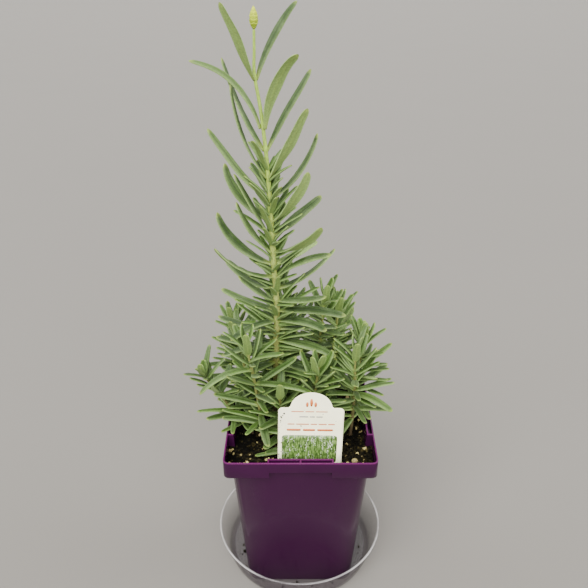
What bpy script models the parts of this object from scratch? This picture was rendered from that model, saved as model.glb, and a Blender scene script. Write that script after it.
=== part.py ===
"""Potted lavender: a square nursery pot in a clear drip saucer, filled with potting mix,
with a printed plant label and a young lavender of one tall budding stem and many side shoots.

Run with  blender --background --python part.py  or from Blender's text editor.
Metres, +Z up.  The origin is the centre of the saucer's underside.  The front, with the label, faces -Y.
"""

import math

import bpy
import numpy as np
from mathutils import Matrix, Vector
from mathutils.bvhtree import BVHTree

MM = 0.001
GAP = 0.3 * MM  # clearance between pieces that touch

# Saucer
SAUCER_ROOM = 4.91674 * MM  # from the corners of the pot's base to the edge of the saucer's floor
SAUCER_FLARE = 8 * MM  # how much wider the rim's radius is than the floor's
SAUCER_HEIGHT = 28 * MM
SAUCER_WALL = 1.0 * MM
SAUCER_BEAD = 1.0 * MM  # radius of the rolled edge
SAUCER_HEEL = 5 * MM  # radius where the floor turns up into the wall
SAUCER_STEPS = 40

# Pot
POT_HEIGHT = 138 * MM
POT_RIM_WIDTH = 114 * MM
POT_MOUTH_WIDTH = 105.6 * MM  # of the tapered body, measured at the top of the rim
POT_BASE_WIDTH = 86 * MM
POT_WALL = 1.2 * MM
POT_FLOOR = 1.6 * MM
POT_CORNER = 9 * MM
RIM_CORNER = 4.5 * MM
RIM_SKIRT = 14 * MM  # how far the rim hangs down at the corners
RIM_SKIRT_MIDDLE = 9 * MM  # and over the label pockets
POCKET_LENGTH = 46 * MM
POCKET_RIB = 1.4 * MM
DRAIN_RADIUS = 5 * MM
DRAIN_INSET = 15 * MM  # hole centres, in from the faces of the base
CORNER_SEGMENTS = 4

# Potting mix
SOIL_BELOW_RIM = 11 * MM
SOIL_RELIEF = 1.2 * MM  # depth of the hollows in its surface
SOIL_GRID = 12
ROOT_DEPTH = 12 * MM  # how far a side shoot goes into the mix

# Label
LABEL_WIDTH = 47.6 * MM
LABEL_SHOULDER = 50.5 * MM  # height of the straight sides above the mix
LABEL_DOME_WIDTH = 30 * MM
LABEL_DOME_RISE = 13 * MM
LABEL_SHOULDER_DROP = 3.2 * MM  # how far the rounded shoulders fall to the sides
LABEL_BURIED = 40 * MM
LABEL_POINT = 26 * MM  # length of the tapering stake
LABEL_THICK = 0.7 * MM
LABEL_EYE = (-19.5 * MM, 45.5 * MM)  # a small punched hole
LABEL_EYE_RADIUS = 0.7 * MM
LABEL_AT = (6.8 * MM, -44.5 * MM)  # where it enters the mix
LABEL_LEAN_BACK = 1.5
LABEL_LEAN_SIDE = 1

# Bark chips: right of the axis, behind it, length, width, height (mm), turn (degrees)
LABEL_EDGE = (LABEL_AT[0] + LABEL_WIDTH / 2) / MM
CHIPS = (
    (LABEL_EDGE + 10.4, -42, 5.4, 3.8, 4.0, 25),
    (LABEL_EDGE + 4.9, -45.5, 4.2, 3.0, 3.4, 100),
    (LABEL_EDGE + 12.9, -34, 3.8, 2.6, 3.0, 60),
    (-46, -46, 4.4, 3.2, 3.2, 10),
    (-33, -50, 3.6, 2.6, 2.8, 80),
)

# Sizes that follow from those
POT_BASE_REACH = POT_BASE_WIDTH / 2 * math.sqrt(2) - POT_CORNER * (math.sqrt(2) - 1)
SAUCER_FLOOR_RADIUS = POT_BASE_REACH + SAUCER_ROOM
SAUCER_RIM_RADIUS = SAUCER_FLOOR_RADIUS + SAUCER_FLARE
POT_BOTTOM = SAUCER_WALL + GAP
RIM_TOP = POT_BOTTOM + POT_HEIGHT
SOIL_TOP = RIM_TOP - SOIL_BELOW_RIM

# The tall stem: distance right of the pot's axis, distance behind it, height above the mix, radius
MAIN_STEM = (
    (-21.0, 0.0, -30.0, 2.3),
    (-20.5, 0.0, 0.0, 2.4),
    (-19.0, 1.0, 40.0, 2.4),
    (-18.2, 1.5, 80.0, 2.3),
    (-17.5, 2.0, 108.0, 2.2),
    (-19.0, 1.5, 140.0, 2.0),
    (-20.8, 0.5, 180.0, 1.7),
    (-22.8, -1.0, 220.0, 1.4),
    (-26.0, -2.0, 252.0, 1.15),
    (-29.2, -3.0, 273.0, 1.0),
    (-29.0, -3.4, 287.0, 0.85),
    (-28.8, -3.6, 299.0, 0.8),
)
BUD_HEIGHT = 13 * MM
BUD_RADIUS = 3.1 * MM

# Leaf pairs of the tall stem, top to bottom.  Height above the mix, then for the left and the right leaf:
# azimuth, rise at the base, bend towards the tip (degrees), length, twist (degrees)
MAIN_PAIRS = (
    (272, (235, 58, 0, 51, 30), (40, 70, -36, 54, 25)),
    (242, (172, 76, -68, 62, -20), (322, 84, -50, 54, -35)),
    (227, (152, 54, 16, 62, 15), (35, 60, -12, 58, 15)),
    (209, (200, 56, 30, 64, -25), (330, 58, 2, 54, -35)),
    (193, (163, 38, 20, 60, -20), (25, 26, 50, 54, 10)),
    (177, (158, 22, 54, 50, -20), (332, 40, 32, 46, -35)),
    (166, (205, 66, -6, 52, -30), (38, 22, 8, 46, 15)),
    (154, (206, 50, 18, 46, -30), (324, 14, 42, 47, -30)),
    (144, (170, 16, 56, 54, -20), (42, 4, 10, 40, 0)),
    (134, (198, 10, 48, 50, 15), (334, 52, -42, 48, 15)),
    (124, (150, -2, 40, 44, -10), (24, 8, 38, 52, -20)),
    (115, (214, 42, 2, 38, -20), (322, 20, 0, 44, 10)),
    (106, (154, 4, 10, 46, 0), (344, 16, -24, 50, 15)),
    (98, (224, 20, -40, 42, 10), (326, 28, -44, 42, 10)),
    (90, (160, -10, 26, 46, 0), (20, 4, -20, 46, 0)),
    (81, (206, 6, -20, 42, 10), (338, 10, -30, 46, 10)),
    (72, (166, 6, 0, 46, 0), (14, 0, -6, 44, 0)),
    (62, (220, 10, -20, 40, 0), (336, 2, -4, 44, 10)),
)
MAIN_LEAF_WIDTH = 7.4 * MM
# The tall stem's narrower leaves: share of that width
NARROWER = {
    "leaf_01_left": 0.7, "leaf_01_right": 0.68, "leaf_02_left": 0.74, "leaf_03_left": 0.86,
    "leaf_03_right": 0.74, "leaf_04_left": 0.76, "leaf_05_left": 0.84, "leaf_05_right": 0.72,
    "leaf_06_left": 0.9, "leaf_07_left": 0.86,
}

# Side shoots.  Name, foot right of the axis and behind it, lean direction, lean at the foot and at the tip
# (degrees from upright), stem length, bare length, leaf pairs, longest leaf, direction of the lowest pair
SHOOTS = (
    ("shoot_front_left", -27, -26, 196, 4, 10, 96, 22, 9, 40, 10),
    ("shoot_left", -38, -8, 178, 34, 34, 68, 12, 7, 30, 60),
    ("shoot_left_tall", -35, 12, 170, 15, 4, 86, 20, 8, 36, 35),
    ("shoot_right_front", 40, -10, 350, 6, -4, 78, 14, 8, 34, 70),
    ("shoot_right", 42, 8, 0, 4, 6, 80, 14, 8, 35, 10),
    ("shoot_middle", 4, -16, 320, 14, 6, 74, 14, 8, 34, 40),
    ("shoot_front", -12, -22, 250, 12, 10, 60, 12, 6, 30, 80),
    ("shoot_front_low", -9, -36, 335, 20, 8, 42, 8, 5, 26, 30),
    ("shoot_inner_right", 4, 10, 30, 16, 2, 112, 30, 9, 36, 30),
    ("shoot_right_tall", 17, 24, 20, 16, 2, 98, 22, 9, 36, 0),
    ("shoot_back_right", 26, 40, 60, 14, 4, 82, 16, 8, 36, 50),
    ("shoot_back", -8, 36, 100, 16, 4, 94, 20, 8, 36, 20),
    ("shoot_back_left", -40, 34, 150, 20, 8, 78, 16, 7, 36, 50),
)
# Large single leaves of side shoots.  Shoot, height above the mix, then azimuth, rise, bend, length, twist
SHOOT_LARGE_LEAVES = (
    ("shoot_front_left", 73, 203, 22, -74, 44, 12),
    ("shoot_front_left", 61, 345, 16, -34, 44, -10),
    ("shoot_front_left", 80, 322, 46, -30, 36, 0),
    ("shoot_right_front", 40, 325, 18, -48, 34, 0),
)
SHOOT_LARGE_LEAF_WIDTH = 7.6 * MM
# Young leaves in the axils of the tall stem: turned aside from the leaf, steeper than it, share of their length
FIRST_TUFT_PAIR = 4
TUFT = ((38, 34, 1.0), (-40, 30, 0.85), (6, 44, 0.7))
TUFT_LENGTH = 23 * MM
TUFT_WIDTH = 4.2 * MM

SHOOT_FOOT_RADIUS = 1.5 * MM
SHOOT_TIP_RADIUS = 0.8 * MM
SHOOT_LEAF_WIDTH = 6.0 * MM

# Leaf shape
LEAF_THICK = 1.6 * MM
LEAF_FOOT_SHARE = 0.42  # width of the foot as a share of the full width
LEAF_TAPER = 0.4  # how much narrower it is by its tip
LEAF_STATIONS = (0.0, 0.2, 0.5, 0.8, 0.95)
SMALL_LEAF_STATIONS = (0.0, 0.4, 0.88)

# How a leaf that would meet a neighbour turns aside: (sideways, upwards) in degrees, then shorter
TURNS = (
    (0, 0), (8, 0), (-8, 0), (0, 8), (0, -8), (8, 8), (-8, 8), (16, 0), (-16, 0), (0, 16),
    (16, 12), (-16, 12), (0, -16), (26, 0), (-26, 0), (26, 14), (-26, 14), (0, 26), (38, 8), (-38, 8),
)
SHORTER = (1.0, 0.8, 0.6)
ROOM = 0.35 * MM  # clear space that a growing leaf keeps round itself


# ---------------------------------------------------------------- how the plant grows

def smooth_route(points, per_span):
    """A Catmull-Rom curve through the points, each a row of numbers, with per_span steps between two."""
    p = np.array(points, float)
    p = np.vstack([2 * p[0] - p[1], p, 2 * p[-1] - p[-2]])
    t = np.linspace(0, 1, per_span, endpoint=False)[:, None]
    rows = []
    for a, b, c, d in zip(p, p[1:], p[2:], p[3:]):
        rows.append(0.5 * (2 * b + (c - a) * t + (2 * a - 5 * b + 4 * c - d) * t**2 + (3 * b - a - 3 * c + d) * t**3))
    return np.vstack([*rows, p[-2:-1]])


def main_stem_route(per_span=1):
    """Points and radii of the tall stem, root to bud."""
    route = smooth_route(MAIN_STEM, per_span) * MM
    route[:, 2] += SOIL_TOP
    return route[:, :3], route[:, 3]


def shoot_route(foot_x, foot_y, azimuth, lean_foot, lean_tip, length, steps=7):
    """Points and radii of a side shoot, from its root upwards: its lean changes evenly along it."""
    rooted = length + ROOT_DEPTH
    s = np.linspace(0, 1, steps + 1)
    lean = np.radians(lean_foot + (lean_tip - lean_foot) * s)
    a = math.radians(azimuth)
    ways = np.stack([np.sin(lean) * math.cos(a), np.sin(lean) * math.sin(a), np.cos(lean)], 1)
    middles = (ways[1:] + ways[:-1]) / 2
    points = np.vstack([np.zeros(3), np.cumsum(middles, 0) * rooted / steps])
    at_surface = np.interp(ROOT_DEPTH, points[:, 2], s)
    shift = np.array([foot_x, foot_y, SOIL_TOP - ROOT_DEPTH])
    surface = np.array([np.interp(at_surface, s, points[:, k]) for k in range(2)])
    points = points + shift - np.array([*surface, 0])
    return points, SHOOT_FOOT_RADIUS + (SHOOT_TIP_RADIUS - SHOOT_FOOT_RADIUS) * s


def at_height(points, radii, z):
    """The point and the radius of a stem at a height."""
    x, y, radius = (np.interp(z, points[:, 2], row) for row in (points[:, 0], points[:, 1], radii))
    return np.array([x, y, z]), radius


def leaf_half_width(s, width):
    """Narrow foot, even over the middle, a little narrower near the end, and a round, blunt tip."""
    s = np.clip(s, 0, 1)
    foot = 1 - (1 - LEAF_FOOT_SHARE) * (1 - np.minimum(s / 0.42, 1)) ** 2
    taper = 1 - LEAF_TAPER * np.clip((s - 0.55) / 0.45, 0, 1) ** 1.5
    tip = np.sqrt(1 - np.clip((s - 0.9) / 0.1, 0, 1) ** 2)
    return width / 2 * foot * taper * tip


def leaf_frames(leaf, stations):
    """Centres, side directions and upper directions of a leaf at its stations.  The leaf's rise changes evenly
    from its foot to its tip, and its twist grows over its first half."""
    foot, azimuth, rise, bend, length, _width, twist = leaf
    fine = np.linspace(0, 1, 41)
    r, a = np.radians(rise + bend * fine), math.radians(azimuth)
    ways = np.stack([np.cos(r) * math.cos(a), np.cos(r) * math.sin(a), np.sin(r)], 1)
    run = np.vstack([np.zeros(3), np.cumsum((ways[1:] + ways[:-1]) / 2, 0) / (len(fine) - 1)]) * length
    stations = np.asarray(stations, float)
    centre = np.stack([np.interp(stations, fine, run[:, k]) for k in range(3)], 1) + foot
    r = np.radians(rise + bend * stations)
    way = np.stack([np.cos(r) * math.cos(a), np.cos(r) * math.sin(a), np.sin(r)], 1)
    level = np.array([-math.sin(a), math.cos(a), 0.0])
    turn = np.radians(twist) * np.clip(stations / 0.5, 0, 1)[:, None]
    upright = np.cross(way, level)
    side = level * np.cos(turn) + upright * np.sin(turn)
    return centre, side, np.cross(way, side)


def leaf_cage(leaf, stations, room=0.0):
    """Vertices and faces of a flat leaf solid, as a loft of four-cornered sections with a pointed end."""
    centre, side, up = leaf_frames(leaf, [*stations, 1.0])
    s = np.array(stations)
    half = (leaf_half_width(s, leaf[5]) + room)[:, None]
    thick = (LEAF_THICK * (1 - 0.35 * s) / 2 + room)[:, None]
    c, sd, u = centre[:-1], side[:-1], up[:-1]
    rings = np.stack([c - sd * half - u * thick, c + sd * half - u * thick,
                      c + sd * half + u * thick, c - sd * half + u * thick], 1)
    return loft(rings, tip=centre[-1])


def loft(rings, tip=None):
    """Vertices and faces of a closed solid through the rings, each of the same number of points, with a flat
    first end, and a flat or a pointed last one."""
    n, sides = rings.shape[:2]
    verts = rings.reshape(-1, 3)
    faces = [tuple(range(sides))[::-1]]
    for i in range(n - 1):
        for k in range(sides):
            m = (k + 1) % sides
            faces.append((i * sides + k, i * sides + m, (i + 1) * sides + m, (i + 1) * sides + k))
    last = (n - 1) * sides
    if tip is None:
        faces.append(tuple(range(last, last + sides)))
    else:
        verts = np.vstack([verts, tip])
        faces += [(last + k, last + (k + 1) % sides, len(verts) - 1) for k in range(sides)]
    return verts, faces


def tube_cage(points, radii, sides=6):
    """Vertices and faces of a stem: a loft of level rings."""
    turn = np.arange(sides) * 2 * math.pi / sides
    ring = np.stack([np.cos(turn), np.sin(turn), np.zeros(sides)], 1)
    return loft(points[:, None] + ring[None] * radii[:, None, None])


def box_cage(low, high):
    """Vertices and faces of a box, a loft of two rings."""
    x, y = (low[0], high[0], high[0], low[0]), (low[1], low[1], high[1], high[1])
    return loft(np.array([[(x[k], y[k], z) for k in range(4)] for z in (low[2], high[2])]))


class Thicket:
    """What stands in the way of a new leaf."""

    def __init__(self):
        self.grown = []

    def add(self, owner, cage):
        verts, faces = cage
        self.grown.append((owner, verts.min(0), verts.max(0), BVHTree.FromPolygons(verts.tolist(), faces)))

    def clear(self, cage, owner=None, own_only=False):
        """Whether the cage meets nothing.  With own_only it is tested against the owner's pieces alone,
        and otherwise against everyone else's."""
        verts, faces = cage
        low, high = verts.min(0), verts.max(0)
        tree = None
        for other, other_low, other_high, other_tree in self.grown:
            if (other == owner) != own_only or (low > other_high).any() or (other_low > high).any():
                continue
            tree = tree or BVHTree.FromPolygons(verts.tolist(), faces)
            if tree.overlap(other_tree):
                return False
        return True


def grow_leaf(thicket, owner, leaf, stations, joined):
    """The leaf as it can grow, turned aside or shortened until it clears its neighbours, or None.  A leaf
    that is joined to its shoot keeps clear of the shoot's own pieces beyond its first third only."""
    foot, azimuth, rise, bend, length, width, twist = leaf
    beyond = [0.3 + 0.7 * s for s in stations] if joined else stations
    for share in SHORTER:
        for sideways, upwards in TURNS:
            tried = (foot, azimuth + sideways, rise + upwards, bend, length * share, width, twist)
            if not thicket.clear(leaf_cage(tried, stations, ROOM), owner):
                continue
            if thicket.clear(leaf_cage(tried, beyond, ROOM if joined else ROOM / 4), owner, own_only=True):
                thicket.add(owner, leaf_cage(tried, stations))
                return tried
    return None


def label_matrix():
    """Where the label stands: its own X to the right, Y to the back, Z up, from the mix's surface."""
    lean = Matrix.Rotation(math.radians(-LABEL_LEAN_BACK), 4, "X")
    lean = lean @ Matrix.Rotation(math.radians(LABEL_LEAN_SIDE), 4, "Y")
    return Matrix.Translation((LABEL_AT[0], LABEL_AT[1], SOIL_TOP)) @ lean


def obstacles(thicket):
    """The pot's rim, the mix and the label, as plain boxes that the leaves grow clear of."""
    half, inner = POT_RIM_WIDTH / 2, POT_MOUTH_WIDTH / 2 - POT_WALL
    low, high = RIM_TOP - RIM_SKIRT, RIM_TOP
    for x0, y0, x1, y1 in ((-half, -half, half, -inner), (-half, inner, half, half),
                           (-half, -inner, -inner, inner), (inner, -inner, half, inner)):
        thicket.add("pot", box_cage((x0, y0, low), (x1, y1, high)))
    thicket.add("potting_mix", box_cage((-half, -half, SOIL_TOP - 20 * MM), (half, half, SOIL_TOP)))
    verts, faces = box_cage((-LABEL_WIDTH / 2, -LABEL_THICK / 2, 0),
                            (LABEL_WIDTH / 2, LABEL_THICK / 2, LABEL_SHOULDER + LABEL_DOME_RISE))
    placed = np.array([label_matrix() @ Vector(v) for v in verts])
    thicket.add("plant_label", (placed, faces))


def grow_plant(thicket):
    """Every stem and leaf of the plant: the single leaves as (name, leaf), the young leaves in their axils,
    and for each side shoot its route, radii and leaves."""
    obstacles(thicket)
    points, radii = main_stem_route()
    thicket.add("main_stem", tube_cage(points, radii))
    routes = {}
    for name, x, y, azimuth, lean_foot, lean_tip, length, *_ in SHOOTS:
        routes[name] = shoot_route(x * MM, y * MM, azimuth, lean_foot, lean_tip, length * MM)
        above = routes[name][0][:, 2] > SOIL_TOP - ROOM
        thicket.add(name, tube_cage(routes[name][0][above], routes[name][1][above]))
    main = []
    for number, (height, *pair) in enumerate(MAIN_PAIRS, 1):
        centre, radius = at_height(points, radii, SOIL_TOP + height * MM)
        for side, (azimuth, rise, bend, length, twist) in zip(("left", "right"), pair):
            way = np.array([math.cos(math.radians(azimuth)), math.sin(math.radians(azimuth)), 0.0])
            foot = centre + way * (radius + GAP + LEAF_THICK / 2 * abs(math.sin(math.radians(rise))))
            name = f"leaf_{number:02d}_{side}"
            leaf = (foot, azimuth, rise, bend, length * MM, MAIN_LEAF_WIDTH * NARROWER.get(name, 1), twist)
            leaf = grow_leaf(thicket, "main_stem", leaf, LEAF_STATIONS, joined=False)
            if leaf:
                main.append((name, leaf))
    shoots = {}
    for name, _x, _y, azimuth, _foot, _tip, length, bare, pairs, longest, first in SHOOTS:
        route, thickness = routes[name]
        leaves = []
        for owner, height, heading, rise, bend, size, twist in SHOOT_LARGE_LEAVES:
            if owner != name:
                continue
            centre, _ = at_height(route, thickness, SOIL_TOP + height * MM)
            leaf = (centre, heading, rise, bend, size * MM, SHOOT_LARGE_LEAF_WIDTH, twist)
            leaf = grow_leaf(thicket, name, leaf, LEAF_STATIONS, joined=True)
            if leaf:
                leaves.append(leaf)
        for k in range(pairs):
            share = k / (pairs - 1)
            z = route[-1, 2] - (1 - share) * (length - bare) * MM * 0.96
            centre, _ = at_height(route, thickness, z)
            size = longest * MM * (0.78 + 0.5 * share - 0.85 * share**3)
            for half in (0, 180):
                rise = 4 + 62 * share**1.2 + 9 * math.sin(3.1 * k + half + first)
                heading = first + 90 * k + half + 24 * math.sin(2.3 * k + half)
                leaf = (centre, heading, rise, 14 - 34 * (1 - share), size, SHOOT_LEAF_WIDTH, 12 * math.sin(1.7 * k + half))
                leaf = grow_leaf(thicket, name, leaf, SMALL_LEAF_STATIONS, joined=True)
                if leaf:
                    leaves.append(leaf)
        shoots[name] = (route, thickness, leaves)
    young = []
    for number, (height, *pair) in enumerate(MAIN_PAIRS, 1):
        if number < FIRST_TUFT_PAIR:
            continue
        for k, (azimuth, rise, _bend, _length, _twist) in enumerate(pair):
            for m, (aside, steeper, share) in enumerate(TUFT):
                z = SOIL_TOP + (height + 2.5 + 1.5 * m) * MM
                centre, _ = at_height(points, radii, z)
                size = TUFT_LENGTH * share * (1 + 0.25 * math.sin(5.1 * number + 2.7 * k + m))
                leaf = (centre, azimuth + aside, min(rise, 30) + steeper, -16, size, TUFT_WIDTH, 0)
                leaf = grow_leaf(thicket, "main_stem", leaf, SMALL_LEAF_STATIONS, joined=True)
                if leaf:
                    young.append(leaf)
    return main, young, shoots


# ---------------------------------------------------------------- building the pieces

def solid_object(name, cage, collection):
    """An object of the cage's vertices and faces."""
    verts, faces = cage
    mesh = bpy.data.meshes.new(name)
    mesh.from_pydata(np.asarray(verts).tolist(), [], [tuple(int(i) for i in f) for f in faces])
    mesh.validate()
    obj = bpy.data.objects.new(name, mesh)
    collection.objects.link(obj)
    return obj


def material(name, color, roughness, alpha=1.0):
    made = bpy.data.materials.new(name)
    made.use_nodes = True
    shader = made.node_tree.nodes["Principled BSDF"]
    shader.inputs["Base Color"].default_value = (*color, 1.0)
    shader.inputs["Roughness"].default_value = roughness
    shader.inputs["Alpha"].default_value = alpha
    made.diffuse_color = (*color, alpha)
    return made


def bake(obj):
    """The object's modifiers made into its mesh."""
    bpy.context.view_layer.update()
    mesh = bpy.data.meshes.new_from_object(obj.evaluated_get(bpy.context.evaluated_depsgraph_get()))
    mesh.name = obj.name
    obj.modifiers.clear()
    obj.data = mesh
    return obj


def combine(obj, cages, operation, solver="EXACT"):
    """The object joined with the cages, or cut by them, all at once.  Where many thin leaves cross, the exact
    solver leaves edges that touch, and the manifold one doesn't."""
    cutters = bpy.data.collections.new(f"{obj.name}_{operation.lower()}")
    cutters.hide_render = True
    bpy.context.scene.collection.children.link(cutters)
    for number, cage in enumerate(cages):
        cutter = solid_object(f"{cutters.name}_{number}", cage, cutters)
        cutter.display_type = "WIRE"
        cutter.hide_render = True
    step = obj.modifiers.new(operation.title(), "BOOLEAN")
    step.operation = operation
    step.solver = solver
    step.operand_type = "COLLECTION"
    step.collection = cutters
    bake(obj)
    for cutter in list(cutters.objects):
        bpy.data.objects.remove(cutter)
    bpy.data.collections.remove(cutters)
    return obj


def rounded_square(half, corner, z, segments=CORNER_SEGMENTS):
    """A ring of points round a level square with round corners."""
    turns = np.radians(np.arange(segments + 1) * 90.0 / segments)
    ring = []
    for quarter, (sx, sy) in enumerate(((1, 1), (-1, 1), (-1, -1), (1, -1))):
        a = turns + quarter * math.pi / 2
        x = sx * (half - corner) + corner * np.cos(a)
        y = sy * (half - corner) + corner * np.sin(a)
        ring += list(zip(x, y, [z] * len(a)))
    return ring


def body_half(z):
    """Half the outer width of the pot's tapered body at a height."""
    share = (z - POT_BOTTOM) / POT_HEIGHT
    return (POT_BASE_WIDTH + (POT_MOUTH_WIDTH - POT_BASE_WIDTH) * share) / 2


def tapered(inset, low, high):
    """The tapered body between two heights, drawn in by inset all round."""
    rings = [rounded_square(body_half(z) - inset, POT_CORNER - min(inset, POT_CORNER / 2), z) for z in (low, high)]
    return loft(np.array(rings))


def rim_corners(inset, low, high):
    """The room inside the rim at its four corners, clear of the label pockets, drawn in by inset."""
    inner, outer = POCKET_LENGTH / 2 + POT_WALL + inset, POT_RIM_WIDTH / 2 - POT_WALL - inset
    turns = np.radians(np.linspace(0, 90, CORNER_SEGMENTS + 1))
    r = RIM_CORNER - POT_WALL
    outline = [(inner, inner), (outer, inner)]
    outline += [(outer - r + r * math.cos(t), outer - r + r * math.sin(t)) for t in turns]
    outline += [(inner, outer)]
    cages = []
    for quarter in range(4):
        c, s = round(math.cos(quarter * math.pi / 2)), round(math.sin(quarter * math.pi / 2))
        cages.append(loft(np.array([[(c * x - s * y, s * x + c * y, z) for x, y in outline] for z in (low, high)])))
    return cages


def on_each_side(low, high):
    """Four boxes, the given one drawn for the +Y side and turned to the other three."""
    cages = []
    for quarter in range(4):
        c, s = round(math.cos(quarter * math.pi / 2)), round(math.sin(quarter * math.pi / 2))
        verts, faces = box_cage(low, high)
        cages.append((np.stack([c * verts[:, 0] - s * verts[:, 1], s * verts[:, 0] + c * verts[:, 1], verts[:, 2]], 1), faces))
    return cages


def cylinder_cage(x, y, radius, low, high, sides=16):
    return tube_cage(np.array([(x, y, low), (x, y, high)]), np.array([radius, radius]), sides)


def revolved(name, profile, steps, collection):
    """A profile of (radius, height) turned round the Z axis with a Screw."""
    mesh = bpy.data.meshes.new(name)
    mesh.from_pydata([(r, 0, z) for r, z in profile], [(i, i + 1) for i in range(len(profile) - 1)], [])
    obj = bpy.data.objects.new(name, mesh)
    collection.objects.link(obj)
    screw = obj.modifiers.new("Turn", "SCREW")
    screw.steps = screw.render_steps = steps
    screw.use_merge_vertices = True
    screw.merge_threshold = 0.00001
    screw.use_normal_calculate = True
    screw.use_smooth_shade = True
    return obj


def build_saucer(collection):
    """A shallow round dish of thin wall, its edge rolled into a bead."""
    r, f, h, w, b = SAUCER_RIM_RADIUS, SAUCER_FLOOR_RADIUS, SAUCER_HEIGHT, SAUCER_WALL, SAUCER_BEAD
    heel = [math.radians(t) for t in (0, 30, 60)]
    inner = [(f - SAUCER_HEEL + (SAUCER_HEEL - w) * math.sin(t), w + (SAUCER_HEEL - w) * (1 - math.cos(t))) for t in heel]
    outer = [(f - SAUCER_HEEL + SAUCER_HEEL * math.sin(t), SAUCER_HEEL * (1 - math.cos(t))) for t in heel]
    bead = [(r - w + b * math.cos(t), h - b + b * math.sin(t)) for t in (math.radians(a) for a in range(180, -91, -45))]
    flare = [(f + 1.6 * MM, SAUCER_HEEL + 3 * MM)]
    thin = [(f + 1.6 * MM - w, SAUCER_HEEL + 3 * MM)]
    profile = [(0, w), *inner, *thin, *bead, *flare, *outer[::-1], (0, 0)]
    return revolved("drip_saucer", profile, SAUCER_STEPS, collection)


def build_pot(collection):
    """A tapered square body under a wide rim, with a label pocket in the middle of each side of the rim."""
    half = POT_RIM_WIDTH / 2
    skirt, middle, top = RIM_TOP - RIM_SKIRT, RIM_TOP - RIM_SKIRT_MIDDLE, RIM_TOP
    rim = [rounded_square(half, RIM_CORNER, z) for z in (skirt, top)]
    pot = solid_object("nursery_pot", loft(np.array(rim)), collection)
    reach = POCKET_LENGTH / 2
    combine(pot, on_each_side((-reach, half / 2, skirt - 1 * MM), (reach, half + 1 * MM, middle)), "DIFFERENCE")
    combine(pot, [tapered(0, POT_BOTTOM, top)], "UNION")
    over = top + 1 * MM
    hollows = [tapered(POT_WALL, POT_BOTTOM + POT_FLOOR, over), *rim_corners(0, skirt + POT_WALL, over)]
    slot_low, slot_high = POT_MOUTH_WIDTH / 2, half - POT_WALL
    for left, right in ((-reach, -POCKET_RIB / 2), (POCKET_RIB / 2, reach)):
        hollows += on_each_side((left, slot_low, middle + POT_WALL), (right, slot_high, over))
    hole = POT_BASE_WIDTH / 2 - DRAIN_INSET
    under = POT_BOTTOM - 1 * MM
    for x, y in ((0, 0), (hole, hole), (-hole, hole), (-hole, -hole), (hole, -hole)):
        hollows.append(cylinder_cage(x, y, DRAIN_RADIUS, under, POT_BOTTOM + POT_FLOOR + 1 * MM))
    combine(pot, hollows, "DIFFERENCE")
    return pot


def rooted(route, radii):
    """The hole in the mix for a stem's root."""
    buried = np.flatnonzero(route[:, 2] < SOIL_TOP)[-1] + 2
    points, radii = route[:buried].copy(), radii[:buried] + GAP
    points[0, 2] -= GAP
    return tube_cage(points, radii)


def soil_lumps(x, y):
    """How far the mix's surface lies below its highest level: rolling lumps, a few millimetres."""
    waves = np.sin(x * 210 + 1.3 * np.sin(y * 170)) * np.sin(y * 240 + 1.1 * np.sin(x * 130 + 2))
    return -SOIL_RELIEF * (0.5 - 0.5 * waves)


def build_mix(stems, chips, collection):
    """The mix fills the pot, spreads over the ledges at the rim's corners and has a lumpy surface."""
    low, ledge = POT_BOTTOM + POT_FLOOR + GAP, RIM_TOP - RIM_SKIRT + POT_WALL + GAP
    inset = POT_WALL + GAP
    mix = solid_object("potting_mix", tapered(inset, low, SOIL_TOP + 2 * MM), collection)
    combine(mix, rim_corners(GAP, ledge, SOIL_TOP + 2 * MM), "UNION")
    steps = SOIL_GRID
    line = np.linspace(-POT_RIM_WIDTH / 2, POT_RIM_WIDTH / 2, steps)
    x, y = np.meshgrid(line, line)
    under = np.stack([x, y, SOIL_TOP + soil_lumps(x, y)], 2).reshape(-1, 3)
    over = under.copy()
    over[:, 2] = SOIL_TOP + 8 * MM
    faces = []
    for i in range(steps - 1):
        for k in range(steps - 1):
            a = i * steps + k
            b, c, d = a + 1, a + steps + 1, a + steps
            faces += [(a, c, b), (a, d, c)]
    count = steps * steps
    edge = [k for k in range(steps)]
    edge += [k * steps + steps - 1 for k in range(1, steps)]
    edge += [count - 1 - k for k in range(1, steps)]
    edge += [k * steps for k in range(steps - 2, 0, -1)]
    faces += [(a, b, b + count, a + count) for a, b in zip(edge, edge[1:] + edge[:1])]
    faces.append(tuple(e + count for e in edge))
    combine(mix, [(np.vstack([under, over]), faces)], "DIFFERENCE")
    holes = [rooted(route, radii) for route, radii in stems]
    holes += [label_cage(GAP), *chips]
    combine(mix, holes, "DIFFERENCE")
    return mix


def label_outline():
    """The label's outline, from the point of its stake round to the right, (across, up) from the mix's surface."""
    w, dome = LABEL_WIDTH / 2, LABEL_DOME_WIDTH / 2
    top = LABEL_SHOULDER
    right = [(0, -LABEL_BURIED), (w * 0.5, -LABEL_BURIED + LABEL_POINT * 0.7), (w * 0.94, -LABEL_BURIED + LABEL_POINT)]
    right += [(w, 0), (w, top - LABEL_SHOULDER_DROP)]
    for t in (0.35, 0.7):
        a = t * math.pi / 2
        right.append((w - LABEL_SHOULDER_DROP * (1 - math.cos(a)), top - LABEL_SHOULDER_DROP * (1 - math.sin(a))))
    right.append((dome + 1.2 * MM, top))
    for t in np.linspace(0.08, 1, 8):
        right.append((dome * math.cos(t * math.pi / 2), top + LABEL_DOME_RISE * math.sin(t * math.pi / 2) ** 0.9))
    left = [(-x, z) for x, z in right[-2:0:-1]]
    return right + left


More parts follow.
